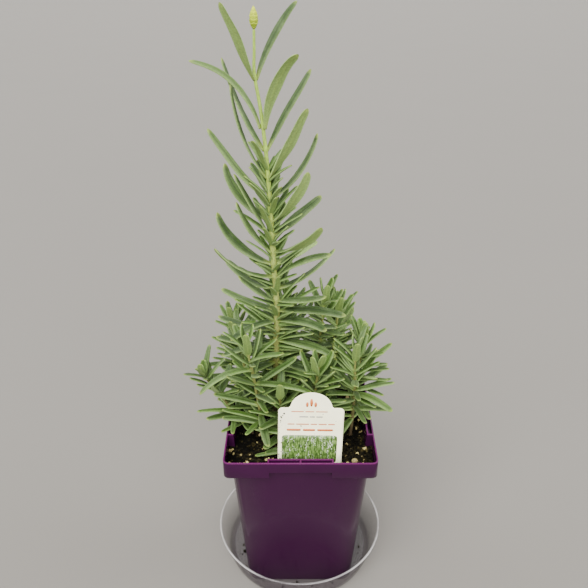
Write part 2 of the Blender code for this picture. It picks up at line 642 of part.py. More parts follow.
def label_cage(room=0.0):
    """The label as a flat solid, with room all round when it is the slot in the mix."""
    outline = np.array(label_outline())
    if room:
        outline[:, 0] += np.sign(outline[:, 0]) * room * 2
        outline[0, 1] -= room * 3
    y = LABEL_THICK / 2 + room
    place = label_matrix()
    rings = [[place @ Vector((x, side, z)) for x, z in outline] for side in (y, -y)]
    return loft(np.array(rings))


def build_label(collection):
    label = solid_object("plant_label", label_cage(), collection)
    place = label_matrix()
    x, z = LABEL_EYE
    eye = [[place @ Vector((x + LABEL_EYE_RADIUS * math.cos(a), y, z + LABEL_EYE_RADIUS * math.sin(a)))
            for a in np.arange(10) * math.pi / 5] for y in (LABEL_THICK, -LABEL_THICK)]
    combine(label, [loft(np.array(eye))], "DIFFERENCE")
    return label


def chip_cage(chip, room=0.0):
    """A bark chip: a box with a narrowed top and foot, turned about the vertical and half sunk in the mix."""
    x, y, length, width, height, turn = chip
    a = math.radians(turn)
    rings = []
    for z, share in ((-0.5, 0.6), (-0.15, 1.0), (0.3, 0.9), (0.5, 0.45)):
        ring = []
        for k in range(6):
            t = k * math.pi / 3 + 0.3 * math.sin(3 * k + x)
            px = (length * MM / 2 * share + room) * math.cos(t)
            py = (width * MM / 2 * share + room) * math.sin(t)
            ring.append((x * MM + px * math.cos(a) - py * math.sin(a), y * MM + px * math.sin(a) + py * math.cos(a),
                         SOIL_TOP + (z * height + height * 0.05) * MM + math.copysign(room, z)))
        rings.append(ring)
    return loft(np.array(rings))


def build():
    for obj in list(bpy.data.objects):
        bpy.data.objects.remove(obj)
    home = bpy.data.collections.new("potted_lavender")
    bpy.context.scene.collection.children.link(home)

    green = material("leaf_green", (0.20, 0.30, 0.13), 0.6)
    main, young, shoots = grow_plant(Thicket())
    points, radii = main_stem_route()

    saucer = build_saucer(home)
    saucer.data.materials.append(material("clear_plastic", (0.85, 0.87, 0.88), 0.1, 0.3))
    pot = build_pot(home)
    pot.data.materials.append(material("purple_plastic", (0.11, 0.02, 0.10), 0.3))
    label = build_label(home)
    label.data.materials.append(material("label_plastic", (0.80, 0.80, 0.74), 0.4))
    bark = material("pale_bark", (0.45, 0.33, 0.20), 0.9)
    for number, chip in enumerate(CHIPS, 1):
        solid_object(f"bark_chip_{number}", chip_cage(chip), home).data.materials.append(bark)
    stems = [(points, radii)] + [(route, radii) for route, radii, _ in shoots.values()]
    mix = build_mix(stems, [chip_cage(chip, GAP) for chip in CHIPS], home)
    mix.data.materials.append(material("dark_mix", (0.04, 0.03, 0.02), 0.95))

    stem = solid_object("main_stem", tube_cage(points, radii), home)
    combine(stem, [leaf_cage(leaf, SMALL_LEAF_STATIONS) for leaf in young], "UNION", "MANIFOLD")
    stem.data.materials.append(material("stem_green", (0.30, 0.33, 0.14), 0.7))
    tip, last = points[-1], radii[-1]
    shape = ((0.0, 0.28), (0.12, 0.72), (0.35, 1.0), (0.62, 0.86), (0.85, 0.42))
    rise = np.array([tip + (0, 0, GAP + h * BUD_HEIGHT) for h, _ in shape])
    rings = rise[:, None] + np.array([(math.cos(a), math.sin(a), 0) for a in np.arange(8) * math.pi / 4])[None] * (
        np.array([r for _, r in shape]) * max(BUD_RADIUS, last))[:, None, None]
    bud = solid_object("flower_bud", loft(rings, tip=tip + (0, 0, GAP + BUD_HEIGHT)), home)
    bud.data.materials.append(material("bud_green", (0.50, 0.52, 0.12), 0.6))
    for name, leaf in main:
        solid_object(name, leaf_cage(leaf, LEAF_STATIONS), home).data.materials.append(green)
    for name, (route, thickness, leaves) in shoots.items():
        shoot = solid_object(name, tube_cage(route, thickness), home)
        combine(shoot, [leaf_cage(leaf, SMALL_LEAF_STATIONS) for leaf in leaves], "UNION", "MANIFOLD")
        shoot.data.materials.append(green)
    for obj in home.objects:
        if obj.name.startswith(("drip", "nursery", "bark", "potting", "plant_label")):
            continue
        for face in obj.data.polygons:
            face.use_smooth = True


build()
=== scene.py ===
"""Potted lavender: the finished look of the plant, its pot, saucer, label and mix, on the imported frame.

Metres, +Z up, the saucer's underside centred on the origin, the front towards -Y.
"""

import math

import bmesh
import bpy
import numpy as np
from mathutils import Matrix, Vector
from mathutils.bvhtree import BVHTree


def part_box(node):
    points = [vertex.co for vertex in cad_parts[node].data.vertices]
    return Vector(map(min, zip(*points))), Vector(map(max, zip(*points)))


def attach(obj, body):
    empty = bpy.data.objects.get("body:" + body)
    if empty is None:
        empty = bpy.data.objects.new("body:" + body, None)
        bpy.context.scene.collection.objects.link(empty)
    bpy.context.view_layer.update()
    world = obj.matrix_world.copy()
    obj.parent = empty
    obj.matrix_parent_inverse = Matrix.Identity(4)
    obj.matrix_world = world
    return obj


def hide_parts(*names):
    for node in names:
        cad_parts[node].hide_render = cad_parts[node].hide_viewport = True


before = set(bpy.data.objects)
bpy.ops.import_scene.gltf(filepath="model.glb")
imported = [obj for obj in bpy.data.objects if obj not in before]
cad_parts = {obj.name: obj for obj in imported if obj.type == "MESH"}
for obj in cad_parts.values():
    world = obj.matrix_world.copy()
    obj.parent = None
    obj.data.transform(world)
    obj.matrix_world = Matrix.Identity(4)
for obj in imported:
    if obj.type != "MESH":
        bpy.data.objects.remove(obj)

MM = 0.001
GAP = 0.3 * MM  # clearance between pieces that touch

# Saucer
SAUCER_ROOM = 4.91674 * MM  # from the corners of the pot's base to the edge of the saucer's floor
SAUCER_FLARE = 8 * MM  # how much wider the rim's radius is than the floor's
SAUCER_HEIGHT = 28 * MM
SAUCER_WALL = 1.0 * MM
SAUCER_BEAD = 1.0 * MM  # radius of the rolled edge
SAUCER_HEEL = 5 * MM  # radius where the floor turns up into the wall

# Pot
POT_HEIGHT = 138 * MM
POT_RIM_WIDTH = 114 * MM
POT_MOUTH_WIDTH = 105.6 * MM  # of the tapered body, measured at the top of the rim
POT_BASE_WIDTH = 86 * MM
POT_WALL = 1.2 * MM
POT_CORNER = 9 * MM
RIM_SKIRT = 14 * MM  # how far the rim hangs down at the corners
POCKET_LENGTH = 46 * MM  # of the label pocket over the middle of each side
POT_EDGE = 0.35 * MM  # width of its worn edges

# Potting mix
SOIL_BELOW_RIM = 11 * MM
SOIL_RELIEF = 1.2 * MM  # depth of the hollows in its surface
SOIL_STEPS = 228  # grid lines of its surface each way
SOIL_REACH = 56 * MM  # half the grid's width
SOIL_DEPTH = 2.2 * MM  # thickness of the surface sheet
CRUMB_COUNT = 2600  # tried for; those that would lie outside the pot are left out
BARK_COUNT = 210
SAUCER_CRUMB_COUNT = 46
LABEL_CRUMB_COUNT = 42
ROOT_DEPTH = 12 * MM  # how far a side shoot goes into the mix

# Label
LABEL_WIDTH = 47.6 * MM
LABEL_SHOULDER = 50.5 * MM  # height of the straight sides above the mix
LABEL_DOME_WIDTH = 30 * MM
LABEL_DOME_RISE = 13 * MM
LABEL_SHOULDER_DROP = 3.2 * MM  # how far the rounded shoulders fall to the sides
LABEL_BURIED = 40 * MM
LABEL_POINT = 26 * MM  # length of the tapering stake
LABEL_THICK = 0.7 * MM
INK_THICK = 0.03 * MM
LABEL_AT = (6.8 * MM, -44.5 * MM)  # where it enters the mix
LABEL_LEAN_BACK = 1.5
LABEL_LEAN_SIDE = 1

CHIP_COUNT = 5

# Sizes that follow from those
POT_BASE_REACH = POT_BASE_WIDTH / 2 * math.sqrt(2) - POT_CORNER * (math.sqrt(2) - 1)
SAUCER_FLOOR_RADIUS = POT_BASE_REACH + SAUCER_ROOM
SAUCER_RIM_RADIUS = SAUCER_FLOOR_RADIUS + SAUCER_FLARE
POT_BOTTOM = SAUCER_WALL + GAP
RIM_TOP = POT_BOTTOM + POT_HEIGHT
SOIL_TOP = RIM_TOP - SOIL_BELOW_RIM

# The tall stem: distance right of the pot's axis, distance behind it, height above the mix, radius
MAIN_STEM = (
    (-21.0, 0.0, -30.0, 2.3),
    (-20.5, 0.0, 0.0, 2.4),
    (-19.0, 1.0, 40.0, 2.4),
    (-18.2, 1.5, 80.0, 2.3),
    (-17.5, 2.0, 108.0, 2.2),
    (-19.0, 1.5, 140.0, 2.0),
    (-20.8, 0.5, 180.0, 1.7),
    (-22.8, -1.0, 220.0, 1.4),
    (-26.0, -2.0, 252.0, 1.15),
    (-29.2, -3.0, 273.0, 1.0),
    (-29.0, -3.4, 287.0, 0.85),
    (-28.8, -3.6, 299.0, 0.8),
)

# Leaf pairs of the tall stem, top to bottom.  Height above the mix, then for the left and the right leaf:
# azimuth, rise at the base, bend towards the tip (degrees), length, twist (degrees)
MAIN_PAIRS = (
    (272, (235, 58, 0, 51, 30), (40, 70, -36, 54, 25)),
    (242, (172, 76, -68, 62, -20), (322, 84, -50, 54, -35)),
    (227, (152, 54, 16, 62, 15), (35, 60, -12, 58, 15)),
    (209, (200, 56, 30, 64, -25), (330, 58, 2, 54, -35)),
    (193, (163, 38, 20, 60, -20), (25, 26, 50, 54, 10)),
    (177, (158, 22, 54, 50, -20), (332, 40, 32, 46, -35)),
    (166, (205, 66, -6, 52, -30), (38, 22, 8, 46, 15)),
    (154, (206, 50, 18, 46, -30), (324, 14, 42, 47, -30)),
    (144, (170, 16, 56, 54, -20), (42, 4, 10, 40, 0)),
    (134, (198, 10, 48, 50, 15), (334, 52, -42, 48, 15)),
    (124, (150, -2, 40, 44, -10), (24, 8, 38, 52, -20)),
    (115, (214, 42, 2, 38, -20), (322, 20, 0, 44, 10)),
    (106, (154, 4, 10, 46, 0), (344, 16, -24, 50, 15)),
    (98, (224, 20, -40, 42, 10), (326, 28, -44, 42, 10)),
    (90, (160, -10, 26, 46, 0), (20, 4, -20, 46, 0)),
    (81, (206, 6, -20, 42, 10), (338, 10, -30, 46, 10)),
    (72, (166, 6, 0, 46, 0), (14, 0, -6, 44, 0)),
    (62, (220, 10, -20, 40, 0), (336, 2, -4, 44, 10)),
)
MAIN_LEAF_WIDTH = 7.4 * MM
# The tall stem's narrower leaves: share of that width
NARROWER = {
    "leaf_01_left": 0.7, "leaf_01_right": 0.68, "leaf_02_left": 0.74, "leaf_03_left": 0.86,
    "leaf_03_right": 0.74, "leaf_04_left": 0.76, "leaf_05_left": 0.84, "leaf_05_right": 0.72,
    "leaf_06_left": 0.9, "leaf_07_left": 0.86,
}

# Side shoots.  Name, foot right of the axis and behind it, lean direction, lean at the foot and at the tip
# (degrees from upright), stem length, bare length, leaf pairs, longest leaf, direction of the lowest pair
SHOOTS = (
    ("shoot_front_left", -27, -26, 196, 4, 10, 96, 22, 9, 40, 10),
    ("shoot_left", -38, -8, 178, 34, 34, 68, 12, 7, 30, 60),
    ("shoot_left_tall", -35, 12, 170, 15, 4, 86, 20, 8, 36, 35),
    ("shoot_right_front", 40, -10, 350, 6, -4, 78, 14, 8, 34, 70),
    ("shoot_right", 42, 8, 0, 4, 6, 80, 14, 8, 35, 10),
    ("shoot_middle", 4, -16, 320, 14, 6, 74, 14, 8, 34, 40),
    ("shoot_front", -12, -22, 250, 12, 10, 60, 12, 6, 30, 80),
    ("shoot_front_low", -9, -36, 335, 20, 8, 42, 8, 5, 26, 30),
    ("shoot_inner_right", 4, 10, 30, 16, 2, 112, 30, 9, 36, 30),
    ("shoot_right_tall", 17, 24, 20, 16, 2, 98, 22, 9, 36, 0),
    ("shoot_back_right", 26, 40, 60, 14, 4, 82, 16, 8, 36, 50),
    ("shoot_back", -8, 36, 100, 16, 4, 94, 20, 8, 36, 20),
    ("shoot_back_left", -40, 34, 150, 20, 8, 78, 16, 7, 36, 50),
)
# Large single leaves of side shoots.  Shoot, height above the mix, then azimuth, rise, bend, length, twist
SHOOT_LARGE_LEAVES = (
    ("shoot_front_left", 73, 203, 22, -74, 44, 12),
    ("shoot_front_left", 61, 345, 16, -34, 44, -10),
    ("shoot_front_left", 80, 322, 46, -30, 36, 0),
    ("shoot_right_front", 40, 325, 18, -48, 34, 0),
)
SHOOT_LARGE_LEAF_WIDTH = 7.6 * MM
# Young leaves in the axils of the tall stem: turned aside from the leaf, steeper than it (degrees), share of
# their length
FIRST_TUFT_PAIR = 4
TUFT = ((38, 34, 1.0), (-40, 30, 0.85), (6, 44, 0.7))
TUFT_LENGTH = 23 * MM
TUFT_WIDTH = 4.2 * MM

STEM_EXTRA_LEAVES = 200  # young leaves tried for on the tall stem
SHOOT_EXTRA_LEAVES = 22  # and on each side shoot

SHOOT_STEPS = 7  # spans of a side shoot's route
SHOOT_FOOT_RADIUS = 1.5 * MM
SHOOT_TIP_RADIUS = 0.8 * MM
SHOOT_LEAF_WIDTH = 6.0 * MM

# Leaf shape
LEAF_THICK = 1.6 * MM
LEAF_FOOT_SHARE = 0.42  # width of the foot as a share of the full width
LEAF_TAPER = 0.4  # how much narrower it is by its tip
LEAF_WIDENS_BY = 0.42  # places along the leaf, as shares of its length: full width from here,
LEAF_NARROWS_FROM = 0.55  # narrowing from here,
LEAF_ROUNDS_FROM = 0.9  # and rounded off from here
LEAF_STATIONS = (0.0, 0.2, 0.5, 0.8, 0.95)
SMALL_LEAF_STATIONS = (0.0, 0.4, 0.88)

# How a leaf that would meet a neighbour turns aside: (sideways, upwards) in degrees, then shorter
TURNS = (
    (0, 0), (8, 0), (-8, 0), (0, 8), (0, -8), (8, 8), (-8, 8), (16, 0), (-16, 0), (0, 16),
    (16, 12), (-16, 12), (0, -16), (26, 0), (-26, 0), (26, 14), (-26, 14), (0, 26), (38, 8), (-38, 8),
)
SHORTER = (1.0, 0.8, 0.6)
ROOM = 0.35 * MM  # clear space that a growing leaf keeps round itself
TUBE_SIDES = 6  # of a stem, as the leaves meet it


# ---------------------------------------------------------------- how the plant grows

def smooth_route(points, per_span):
    """A Catmull-Rom curve through the points, each a row of numbers, with per_span steps between two."""
    p = np.array(points, float)
    p = np.vstack([2 * p[0] - p[1], p, 2 * p[-1] - p[-2]])
    t = np.linspace(0, 1, per_span, endpoint=False)[:, None]
    rows = []
    for a, b, c, d in zip(p, p[1:], p[2:], p[3:]):
        square, cube = 2 * a - 5 * b + 4 * c - d, 3 * b - a - 3 * c + d
        rows.append(0.5 * (2 * b + (c - a) * t + square * t**2 + cube * t**3))
    return np.vstack([*rows, p[-2:-1]])


def around(count):
    """Angles evenly spaced round a full turn, the first of them 0."""
    return np.arange(count) * 2 * np.pi / count


def main_stem_route():
    """Points and radii of the tall stem, root to bud."""
    route = smooth_route(MAIN_STEM, 1) * MM
    route[:, 2] += SOIL_TOP
    return route[:, :3], route[:, 3]


def shoot_route(foot_x, foot_y, azimuth, lean_foot, lean_tip, length):
    """Points and radii of a side shoot, from its root upwards: its lean changes evenly along it."""
    rooted = length + ROOT_DEPTH
    s = np.linspace(0, 1, SHOOT_STEPS + 1)
    lean = np.radians(lean_foot + (lean_tip - lean_foot) * s)
    a = math.radians(azimuth)
    ways = np.stack([np.sin(lean) * math.cos(a), np.sin(lean) * math.sin(a), np.cos(lean)], 1)
    middles = (ways[1:] + ways[:-1]) / 2
    points = np.vstack([np.zeros(3), np.cumsum(middles, 0) * rooted / SHOOT_STEPS])
    at_surface = np.interp(ROOT_DEPTH, points[:, 2], s)
    shift = np.array([foot_x, foot_y, SOIL_TOP - ROOT_DEPTH])
    surface = np.array([np.interp(at_surface, s, points[:, k]) for k in range(2)])
    points = points + shift - np.array([*surface, 0])
    return points, SHOOT_FOOT_RADIUS + (SHOOT_TIP_RADIUS - SHOOT_FOOT_RADIUS) * s


def at_height(points, radii, z):
    """The point and the radius of a stem at a height."""
    x, y, radius = (np.interp(z, points[:, 2], row) for row in (points[:, 0], points[:, 1], radii))
    return np.array([x, y, z]), radius


def leaf_half_width(s, width):
    """Narrow foot, even over the middle, a little narrower near the end, and a round, blunt tip."""
    s = np.clip(s, 0, 1)
    foot = 1 - (1 - LEAF_FOOT_SHARE) * (1 - np.minimum(s / LEAF_WIDENS_BY, 1)) ** 2
    taper = 1 - LEAF_TAPER * np.clip((s - LEAF_NARROWS_FROM) / 0.45, 0, 1) ** 1.5
    tip = np.sqrt(1 - np.clip((s - LEAF_ROUNDS_FROM) / 0.1, 0, 1) ** 2)
    return width / 2 * foot * taper * tip


def leaf_frames(leaf, stations):
    """Centres, side directions and upper directions of a leaf at its stations.  The leaf's rise changes
    evenly from its foot to its tip, and its twist grows over its first half."""
    foot, azimuth, rise, bend, length, _width, twist = leaf
    fine = np.linspace(0, 1, 41)
    r, a = np.radians(rise + bend * fine), math.radians(azimuth)
    ways = np.stack([np.cos(r) * math.cos(a), np.cos(r) * math.sin(a), np.sin(r)], 1)
    run = np.vstack([np.zeros(3), np.cumsum((ways[1:] + ways[:-1]) / 2, 0) / (len(fine) - 1)]) * length
    stations = np.asarray(stations, float)
    centre = np.stack([np.interp(stations, fine, run[:, k]) for k in range(3)], 1) + foot
    r = np.radians(rise + bend * stations)
    way = np.stack([np.cos(r) * math.cos(a), np.cos(r) * math.sin(a), np.sin(r)], 1)
    level = np.array([-math.sin(a), math.cos(a), 0.0])
    turn = np.radians(twist) * np.clip(stations / 0.5, 0, 1)[:, None]
    upright = np.cross(way, level)
    side = level * np.cos(turn) + upright * np.sin(turn)
    return centre, side, np.cross(way, side)


def leaf_cage(leaf, stations, room=0.0):
    """Vertices and faces of a flat leaf solid, as a loft of four-cornered sections with a pointed end."""
    centre, side, up = leaf_frames(leaf, [*stations, 1.0])
    s = np.array(stations)
    half = (leaf_half_width(s, leaf[5]) + room)[:, None]
    thick = (LEAF_THICK * (1 - 0.35 * s) / 2 + room)[:, None]
    c, sd, u = centre[:-1], side[:-1], up[:-1]
    rings = np.stack([c - sd * half - u * thick, c + sd * half - u * thick,
                      c + sd * half + u * thick, c - sd * half + u * thick], 1)
    return loft(rings, tip=centre[-1])


def loft(rings, tip=None):
    """Vertices and faces of a closed solid through the rings, each of the same number of points, with a flat
    first end, and a flat or a pointed last one."""
    n, sides = rings.shape[:2]
    verts = rings.reshape(-1, 3)
    faces = [tuple(range(sides))[::-1]]
    for i in range(n - 1):
        for k in range(sides):
            m = (k + 1) % sides
            faces.append((i * sides + k, i * sides + m, (i + 1) * sides + m, (i + 1) * sides + k))
    last = (n - 1) * sides
    if tip is None:
        faces.append(tuple(range(last, last + sides)))
    else:
        verts = np.vstack([verts, tip])
        faces += [(last + k, last + (k + 1) % sides, len(verts) - 1) for k in range(sides)]
    return verts, faces


def tube_cage(points, radii):
    """Vertices and faces of a stem: a loft of level rings."""
    turn = around(TUBE_SIDES)
    ring = np.stack([np.cos(turn), np.sin(turn), 0 * turn], 1)
    return loft(points[:, None] + ring[None] * radii[:, None, None])


def box_cage(low, high):
    """Vertices and faces of a box, a loft of two rings."""
    x, y = (low[0], high[0], high[0], low[0]), (low[1], low[1], high[1], high[1])
    return loft(np.array([[(x[k], y[k], z) for k in range(4)] for z in (low[2], high[2])]))


class Thicket:
    """What stands in the way of a new leaf."""

    def __init__(self):
        self.grown = []

    def add(self, owner, cage):
        """Let the cage stand among the owner's pieces."""
        verts, faces = cage
        self.grown.append((owner, verts.min(0), verts.max(0), BVHTree.FromPolygons(verts.tolist(), faces)))

    def clear(self, cage, owner=None, own_only=False):
        """Whether the cage meets nothing.  With own_only it is tested against the owner's pieces alone,
        and otherwise against everyone else's."""
        verts, faces = cage
        low, high = verts.min(0), verts.max(0)
        tree = None
        for other, other_low, other_high, other_tree in self.grown:
            if (other == owner) != own_only or (low > other_high).any() or (other_low > high).any():
                continue
            tree = tree or BVHTree.FromPolygons(verts.tolist(), faces)
            if tree.overlap(other_tree):
                return False
        return True


def grow_leaf(thicket, owner, leaf, stations, joined):
    """The leaf as it can grow, turned aside or shortened until it clears its neighbours, or None.  A leaf
    that is joined to its shoot keeps clear of the shoot's own pieces beyond its first third only."""
    foot, azimuth, rise, bend, length, width, twist = leaf
    beyond = [0.3 + 0.7 * s for s in stations] if joined else stations
    for share in SHORTER:
        for sideways, upwards in TURNS:
            tried = (foot, azimuth + sideways, rise + upwards, bend, length * share, width, twist)
            if not thicket.clear(leaf_cage(tried, stations, ROOM), owner):
                continue
            if thicket.clear(leaf_cage(tried, beyond, ROOM if joined else ROOM / 4), owner, own_only=True):
                thicket.add(owner, leaf_cage(tried, stations))
                return tried
    return None


def label_matrix():
    """Where the label stands: its own X to the right, Y to the back, Z up, from the mix's surface."""
    lean = Matrix.Rotation(math.radians(-LABEL_LEAN_BACK), 4, "X")
    lean = lean @ Matrix.Rotation(math.radians(LABEL_LEAN_SIDE), 4, "Y")
    return Matrix.Translation((LABEL_AT[0], LABEL_AT[1], SOIL_TOP)) @ lean


def obstacles(thicket):
    """The pot's rim, the mix and the label, as plain boxes that the leaves grow clear of."""
    half, inner = POT_RIM_WIDTH / 2, POT_MOUTH_WIDTH / 2 - POT_WALL
    low, high = RIM_TOP - RIM_SKIRT, RIM_TOP
    for x0, y0, x1, y1 in ((-half, -half, half, -inner), (-half, inner, half, half),
                           (-half, -inner, -inner, inner), (inner, -inner, half, inner)):
        thicket.add("pot", box_cage((x0, y0, low), (x1, y1, high)))
    thicket.add("potting_mix", box_cage((-half, -half, SOIL_TOP - 20 * MM), (half, half, SOIL_TOP)))
    verts, faces = box_cage((-LABEL_WIDTH / 2, -LABEL_THICK / 2, 0),
                            (LABEL_WIDTH / 2, LABEL_THICK / 2, LABEL_SHOULDER + LABEL_DOME_RISE))
    placed = np.array([label_matrix() @ Vector(v) for v in verts])
    thicket.add("plant_label", (placed, faces))


def grow_plant(thicket):
    """Every stem and leaf of the plant: the single leaves as (name, leaf), the young leaves in their axils,
    and for each side shoot its route, radii and leaves."""
    obstacles(thicket)
    points, radii = main_stem_route()
    thicket.add("main_stem", tube_cage(points, radii))
    routes = {}
    for name, x, y, azimuth, lean_foot, lean_tip, length, *_ in SHOOTS:
        routes[name] = shoot_route(x * MM, y * MM, azimuth, lean_foot, lean_tip, length * MM)
        above = routes[name][0][:, 2] > SOIL_TOP - ROOM
        thicket.add(name, tube_cage(routes[name][0][above], routes[name][1][above]))
    main = []
    for number, (height, *pair) in enumerate(MAIN_PAIRS, 1):
        centre, radius = at_height(points, radii, SOIL_TOP + height * MM)
        for side, (azimuth, rise, bend, length, twist) in zip(("left", "right"), pair):
            way = np.array([math.cos(math.radians(azimuth)), math.sin(math.radians(azimuth)), 0.0])
            foot = centre + way * (radius + GAP + LEAF_THICK / 2 * abs(math.sin(math.radians(rise))))
            name = f"leaf_{number:02d}_{side}"
            leaf = (foot, azimuth, rise, bend, length * MM, MAIN_LEAF_WIDTH * NARROWER.get(name, 1), twist)
            leaf = grow_leaf(thicket, "main_stem", leaf, LEAF_STATIONS, joined=False)
            if leaf:
                main.append((name, leaf))
    shoots = {}
    for name, _x, _y, azimuth, _foot, _tip, length, bare, pairs, longest, first in SHOOTS:
        route, thickness = routes[name]
        leaves = []
        for owner, height, heading, rise, bend, size, twist in SHOOT_LARGE_LEAVES:
            if owner != name:
                continue
            centre, _ = at_height(route, thickness, SOIL_TOP + height * MM)
            leaf = (centre, heading, rise, bend, size * MM, SHOOT_LARGE_LEAF_WIDTH, twist)
            leaf = grow_leaf(thicket, name, leaf, LEAF_STATIONS, joined=True)
            if leaf:
                leaves.append(leaf)
        for k in range(pairs):
            share = k / (pairs - 1)
            z = route[-1, 2] - (1 - share) * (length - bare) * MM * 0.96
            centre, _ = at_height(route, thickness, z)
            size = longest * MM * (0.78 + 0.5 * share - 0.85 * share**3)
            for half in (0, 180):
                rise = 4 + 62 * share**1.2 + 9 * math.sin(3.1 * k + half + first)
                heading = first + 90 * k + half + 24 * math.sin(2.3 * k + half)
                bend, twist = 14 - 34 * (1 - share), 12 * math.sin(1.7 * k + half)
                leaf = (centre, heading, rise, bend, size, SHOOT_LEAF_WIDTH, twist)
                leaf = grow_leaf(thicket, name, leaf, SMALL_LEAF_STATIONS, joined=True)
                if leaf:
                    leaves.append(leaf)
        shoots[name] = (route, thickness, leaves)
    young = []
    for number, (height, *pair) in enumerate(MAIN_PAIRS, 1):
        if number < FIRST_TUFT_PAIR:
            continue
        for k, (azimuth, rise, _bend, _length, _twist) in enumerate(pair):
            for m, (aside, steeper, share) in enumerate(TUFT):
                z = SOIL_TOP + (height + 2.5 + 1.5 * m) * MM
                centre, _ = at_height(points, radii, z)
                size = TUFT_LENGTH * share * (1 + 0.25 * math.sin(5.1 * number + 2.7 * k + m))
                leaf = (centre, azimuth + aside, min(rise, 30) + steeper, -16, size, TUFT_WIDTH, 0)
                leaf = grow_leaf(thicket, "main_stem", leaf, SMALL_LEAF_STATIONS, joined=True)
                if leaf:
                    young.append(leaf)
    return main, young, shoots


def soil_lumps(x, y):
    """How far the mix's surface lies below its highest level: rolling lumps, a few millimetres."""
    waves = np.sin(x * 210 + 1.3 * np.sin(y * 170)) * np.sin(y * 240 + 1.1 * np.sin(x * 130 + 2))
    return -SOIL_RELIEF * (0.5 - 0.5 * waves)


# ---------------------------------------------------------------- meshes

def new_mesh_object(name, verts, faces):
    """A smooth object of these vertices and faces at the origin, riding on the one body."""
    mesh = bpy.data.meshes.new(name)
    mesh.from_pydata(np.asarray(verts, float), [], faces)
    obj = bpy.data.objects.new(name, mesh)
    bpy.context.scene.collection.objects.link(obj)
    mesh.polygons.foreach_set("use_smooth", np.ones(len(mesh.polygons), bool))
    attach(obj, "root")
    return obj


def add_numbers(obj, name, values):
    """One number a vertex, which a material reads by name."""
    layer = obj.data.attributes.new(name, "FLOAT", "POINT")
    layer.data.foreach_set("value", np.asarray(values, np.float32).ravel())


def strip_faces(rows, columns, start=0):
    """Quads of a surface of rows by columns points whose columns close into a ring."""
    i, k = np.meshgrid(np.arange(rows - 1), np.arange(columns), indexing="ij")
    m = (k + 1) % columns
    quads = np.stack([i * columns + k, i * columns + m, (i + 1) * columns + m, (i + 1) * columns + k], -1)
    return (quads.reshape(-1, 4) + start).tolist()


def fan_faces(ring, pole, outward_first):
    """Triangles from a ring of vertex numbers to a pole."""
    ahead = np.roll(ring, -1)
    pairs = (ahead, ring) if outward_first else (ring, ahead)
    return np.stack([*pairs, np.full(len(ring), pole)], 1).tolist()


class Surfaces:
    """Ring surfaces gathered into one mesh, with numbers at each vertex and a material for each face."""

    def __init__(self, *numbers):
        self.verts, self.faces, self.slots = [], [], []
        self.numbers = {n: [] for n in numbers}
        self.count = 0

    def add(self, rings, foot, tip, slot=0, **numbers):
        """Rings of shape (rows, columns, 3) closed at both ends by a pole, and numbers of shape (rows,
        columns)."""
        rows, columns = rings.shape[:2]
        self.verts += [rings.reshape(-1, 3), foot[None], tip[None]]
        faces = strip_faces(rows, columns, self.count)
        ring = np.arange(columns) + self.count
        poles = self.count + rows * columns
        faces += fan_faces(ring, poles, True)
        faces += fan_faces(ring + (rows - 1) * columns, poles + 1, False)
        self.faces += faces
        self.slots += [slot] * len(faces)
        for name, store in self.numbers.items():
            value = np.broadcast_to(np.asarray(numbers.get(name, 0.0), float), (rows, columns))
            store += [value.ravel(), [value[0].mean()], [value[-1].mean()]]
        self.count += rows * columns + 2

    def make(self, name, *materials):
        """The object of all the surfaces added, with these materials."""
        obj = new_mesh_object(name, np.vstack(self.verts), self.faces)
        for m in materials:
            obj.data.materials.append(m)
        obj.data.polygons.foreach_set("material_index", np.array(self.slots, np.int32))
        for number, store in self.numbers.items():
            add_numbers(obj, number, np.concatenate(store))
        return obj


# ---------------------------------------------------------------- leaves and stems

